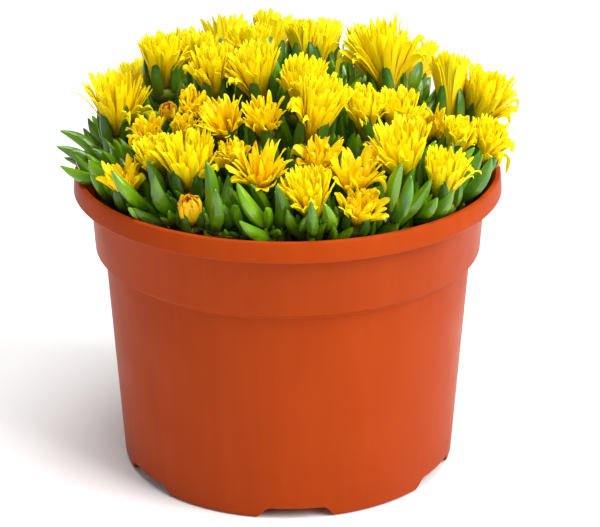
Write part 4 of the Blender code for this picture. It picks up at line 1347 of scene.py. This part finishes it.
def petal_coat(name, foot, body, tip, deep, browned):
    """Thin satin petals with fine lines along them, more orange towards the foot partly as painted shade, and
    brown dry ends on some where they fade.
    """
    coat = Coat(name, 0.5, Subsurface_Weight=0.4, Subsurface_Scale=0.002, Specular_IOR_Level=0.2)
    coat.shader.inputs["Subsurface Radius"].default_value = (1.0, 0.6, 0.05)
    # Painted shade in part: the foot and lower petal are made more orange, as a petal looks in shade with
    # light passing through it; part of it is the petals' own colour
    low = (body[0], body[1] * 0.78, body[2])
    length = coat.ramp(coat.attribute("along"), ((0.0, foot), (0.2, low), (0.6, body), (1.0, tip)))
    lines = streaks(coat, 1.2, 5.0)
    lined = coat.mix(coat.fade(lines, 0.4, 0.8, 0.3), length, deep)
    toned = coat.mix(coat.fade(coat.attribute("tone"), 0.3, 1.0, 0.3), lined, deep)
    ends = coat.fade(coat.attribute("along"), 0.78, 1.0, browned)
    few = coat.fade(coat.attribute("tone"), 0.6, 0.85)
    coat.colour(coat.mix(coat.mix(1.0, ends, few, "MULTIPLY"), toned, (0.42, 0.13, 0.01)))
    coat.bump(lines, 0.25, 0.0004)
    return coat.material


def leaf_coat():
    """Waxy flesh: lighter along the keel, darker at the foot as painted shade, with a fine grain of cells."""
    coat = Coat("leaf_flesh", 0.15, Subsurface_Weight=0.18, Subsurface_Scale=0.002, Specular_IOR_Level=0.5)
    coat.shader.inputs["Subsurface Radius"].default_value = (0.5, 1.0, 0.1)
    tones = coat.ramp(coat.attribute("tone"), (
        (0.0, (0.048, 0.130, 0.003)), (0.35, (0.090, 0.215, 0.004)), (0.7, (0.160, 0.330, 0.005)),
        (0.92, (0.050, 0.170, 0.010)), (1.0, (0.240, 0.410, 0.008))))
    # Painted shade: each leaf is darkened towards its foot, where it sits in the shade of the rosette
    shade = coat.ramp(coat.attribute("along"), ((0.0, (0.35,)), (0.3, (0.85,)), (0.8, (1.0,)), (1.0, (0.9,))))
    shaded = coat.mix(1.0, tones, shade, "MULTIPLY")
    coat.colour(coat.flecked(shaded, (0.20, 0.42, 0.012), 160.0, 0.4, 0.7, 0.3))
    coat.bump(coat.noise(2600.0, 1.0), 0.12, 0.0003)
    return coat.material


def sepal_coat():
    coat = Coat("sepal_flesh", 0.3, Specular_IOR_Level=0.3)
    shade = coat.ramp(coat.attribute("along"), (
        (0.0, (0.20, 0.27, 0.012)), (0.3, (0.10, 0.20, 0.008)), (0.6, (0.040, 0.125, 0.010)),
        (1.0, (0.020, 0.080, 0.014))))
    coat.colour(coat.flecked(shade, (0.12, 0.26, 0.015), 300.0, 0.4, 0.8, 0.4))
    coat.bump(coat.noise(2400.0, 1.0), 0.12, 0.0003)
    return coat.material


def stem_coat():
    coat = Coat("stem_flesh", 0.4, Specular_IOR_Level=0.35)
    shade = coat.ramp(coat.attribute("along"), (
        (0.0, (0.05, 0.08, 0.010)), (0.5, (0.09, 0.17, 0.008)), (1.0, (0.21, 0.28, 0.012))))
    coat.colour(coat.flecked(shade, (0.16, 0.13, 0.03), 240.0, 0.35, 0.8, 0.3))
    coat.bump(coat.noise(1500.0, 2.0), 0.15, 0.0004)
    return coat.material


def crown_coat():
    coat = Coat("crown_bark", 0.75)
    bark = coat.noise(900.0, 4.0, stretch=(1, 1, 0.3))
    coat.colour(coat.ramp(bark, ((0.3, (0.06, 0.03, 0.015)), (0.7, (0.16, 0.10, 0.05)))))
    coat.bump(bark, 0.6, 0.001)
    return coat.material


def compost_coat():
    coat = Coat("compost_crumb", 0.92, Specular_IOR_Level=0.2)
    grain = coat.noise(420.0, 6.0, 0.65)
    coat.colour(coat.ramp(grain, (
        (0.3, (0.010, 0.006, 0.003)), (0.55, (0.040, 0.024, 0.013)), (0.72, (0.11, 0.07, 0.04)))))
    coat.bump(grain, 0.9, 0.0025)
    return coat.material


def thread_coat():
    coat = Coat("dry_root", 0.8)
    coat.colour(coat.ramp(coat.noise(700.0, 2.0), ((0.4, (0.015, 0.010, 0.008)), (0.75, (0.12, 0.08, 0.05)))))
    return coat.material


def pot_coat():
    """Moulded plastic with faint upright flow lines and a dusty mottle."""
    coat = Coat("terracotta_moulded", 0.36, Specular_IOR_Level=0.06)
    flow = coat.noise(260.0, stretch=(1, 1, 0.04))
    mottle = coat.noise(45.0, 4.0)
    base = coat.ramp(flow, ((0.3, (0.335, 0.039, 0.002)), (0.7, (0.355, 0.043, 0.003))))
    coat.colour(coat.mix(coat.fade(mottle, 0.35, 0.75, 0.35), base, (0.29, 0.031, 0.002)))
    coat.sheen_of(coat.ramp(mottle, ((0.3, (0.38,)), (0.7, (0.50,)))))
    coat.bump(coat.noise(900.0, 2.0, stretch=(1, 1, 0.5)), 0.05, 0.0005)
    return coat.material


# Scene

def floor_coat():
    coat = Coat("studio_floor", 0.8)
    coat.shader.inputs["Base Color"].default_value = (0.90, 0.90, 0.90, 1)
    return coat.material


def make_stage():
    floor = added(bpy.ops.mesh.primitive_plane_add, "studio_floor", size=6.0)
    floor.data.materials.append(floor_coat())
    world = bpy.context.scene.world or bpy.data.worlds.new("studio")
    bpy.context.scene.world = world
    world.use_nodes = True
    sky = world.node_tree.nodes["Background"].inputs
    sky["Color"].default_value = (1, 1, 1, 1)
    sky["Strength"].default_value = SKY_STRENGTH
    bpy.context.scene.view_settings.view_transform = "Standard"


def make_lights():
    for name, place, height, size, power in LAMPS:
        light = bpy.data.lights.new(name, "AREA")
        light.size = size
        light.energy = power
        lamp = bpy.data.objects.new(name, light)
        lamp.location = place
        lamp.rotation_euler = (Vector((0, 0, height)) - Vector(place)).to_track_quat("-Z", "Y").to_euler()
        bpy.context.scene.collection.objects.link(lamp)


def make_camera():
    camera = bpy.data.objects.new("camera", bpy.data.cameras.new("camera"))
    camera.data.lens = LENS
    camera.data.sensor_width = 36
    camera.location = CAMERA_PLACE
    camera.rotation_euler = (math.pi / 2 - CAMERA_PITCH, 0, CAMERA_YAW)
    bpy.context.scene.collection.objects.link(camera)
    bpy.context.scene.camera = camera


def make_plant():
    draw = random.Random(SEED)
    blooms = [read_bloom(row) for row in BLOOMS]
    part_neighbours(blooms)
    petal = petal_master()
    coats = {kind: petal_coat(*looks) for kind, looks in PETAL_COATS.items()}
    for number, bloom in enumerate(blooms, 1):
        make_petals(number, bloom, petal, draw, coats)
    masters = {
        "leaf": leaf_master(LEAF_ROWS), "sepal": leaf_master(SEPAL_ROWS), "stem": stem_master(),
        "cup": cup_master(),
    }
    greens = [leaf_coat(), stem_coat(), crown_coat(), sepal_coat()]
    places = crowns()
    clump_leaves = [read_leaves(frame["nodes"][f"clump_{number + 1:02d}"]) for number in range(len(places))]
    sprigs = grow_sprigs(blooms, clump_leaves, draw)
    for number, place in enumerate(places):
        own = [bloom for bloom in blooms if nearest(places, bloom["throat"]) == number]
        near = [sprig for sprig in sprigs if nearest(places, sprig["root"]) == number]
        make_clump(number + 1, place, own, clump_leaves[number], near, masters, greens, draw)


def main():
    make_camera()
    make_pot(pot_coat())
    compost = compost_coat()
    make_soil(compost)
    make_crumbs(crumb_master(), compost)
    make_threads(thread_coat())
    make_plant()
    make_stage()
    make_lights()


main()
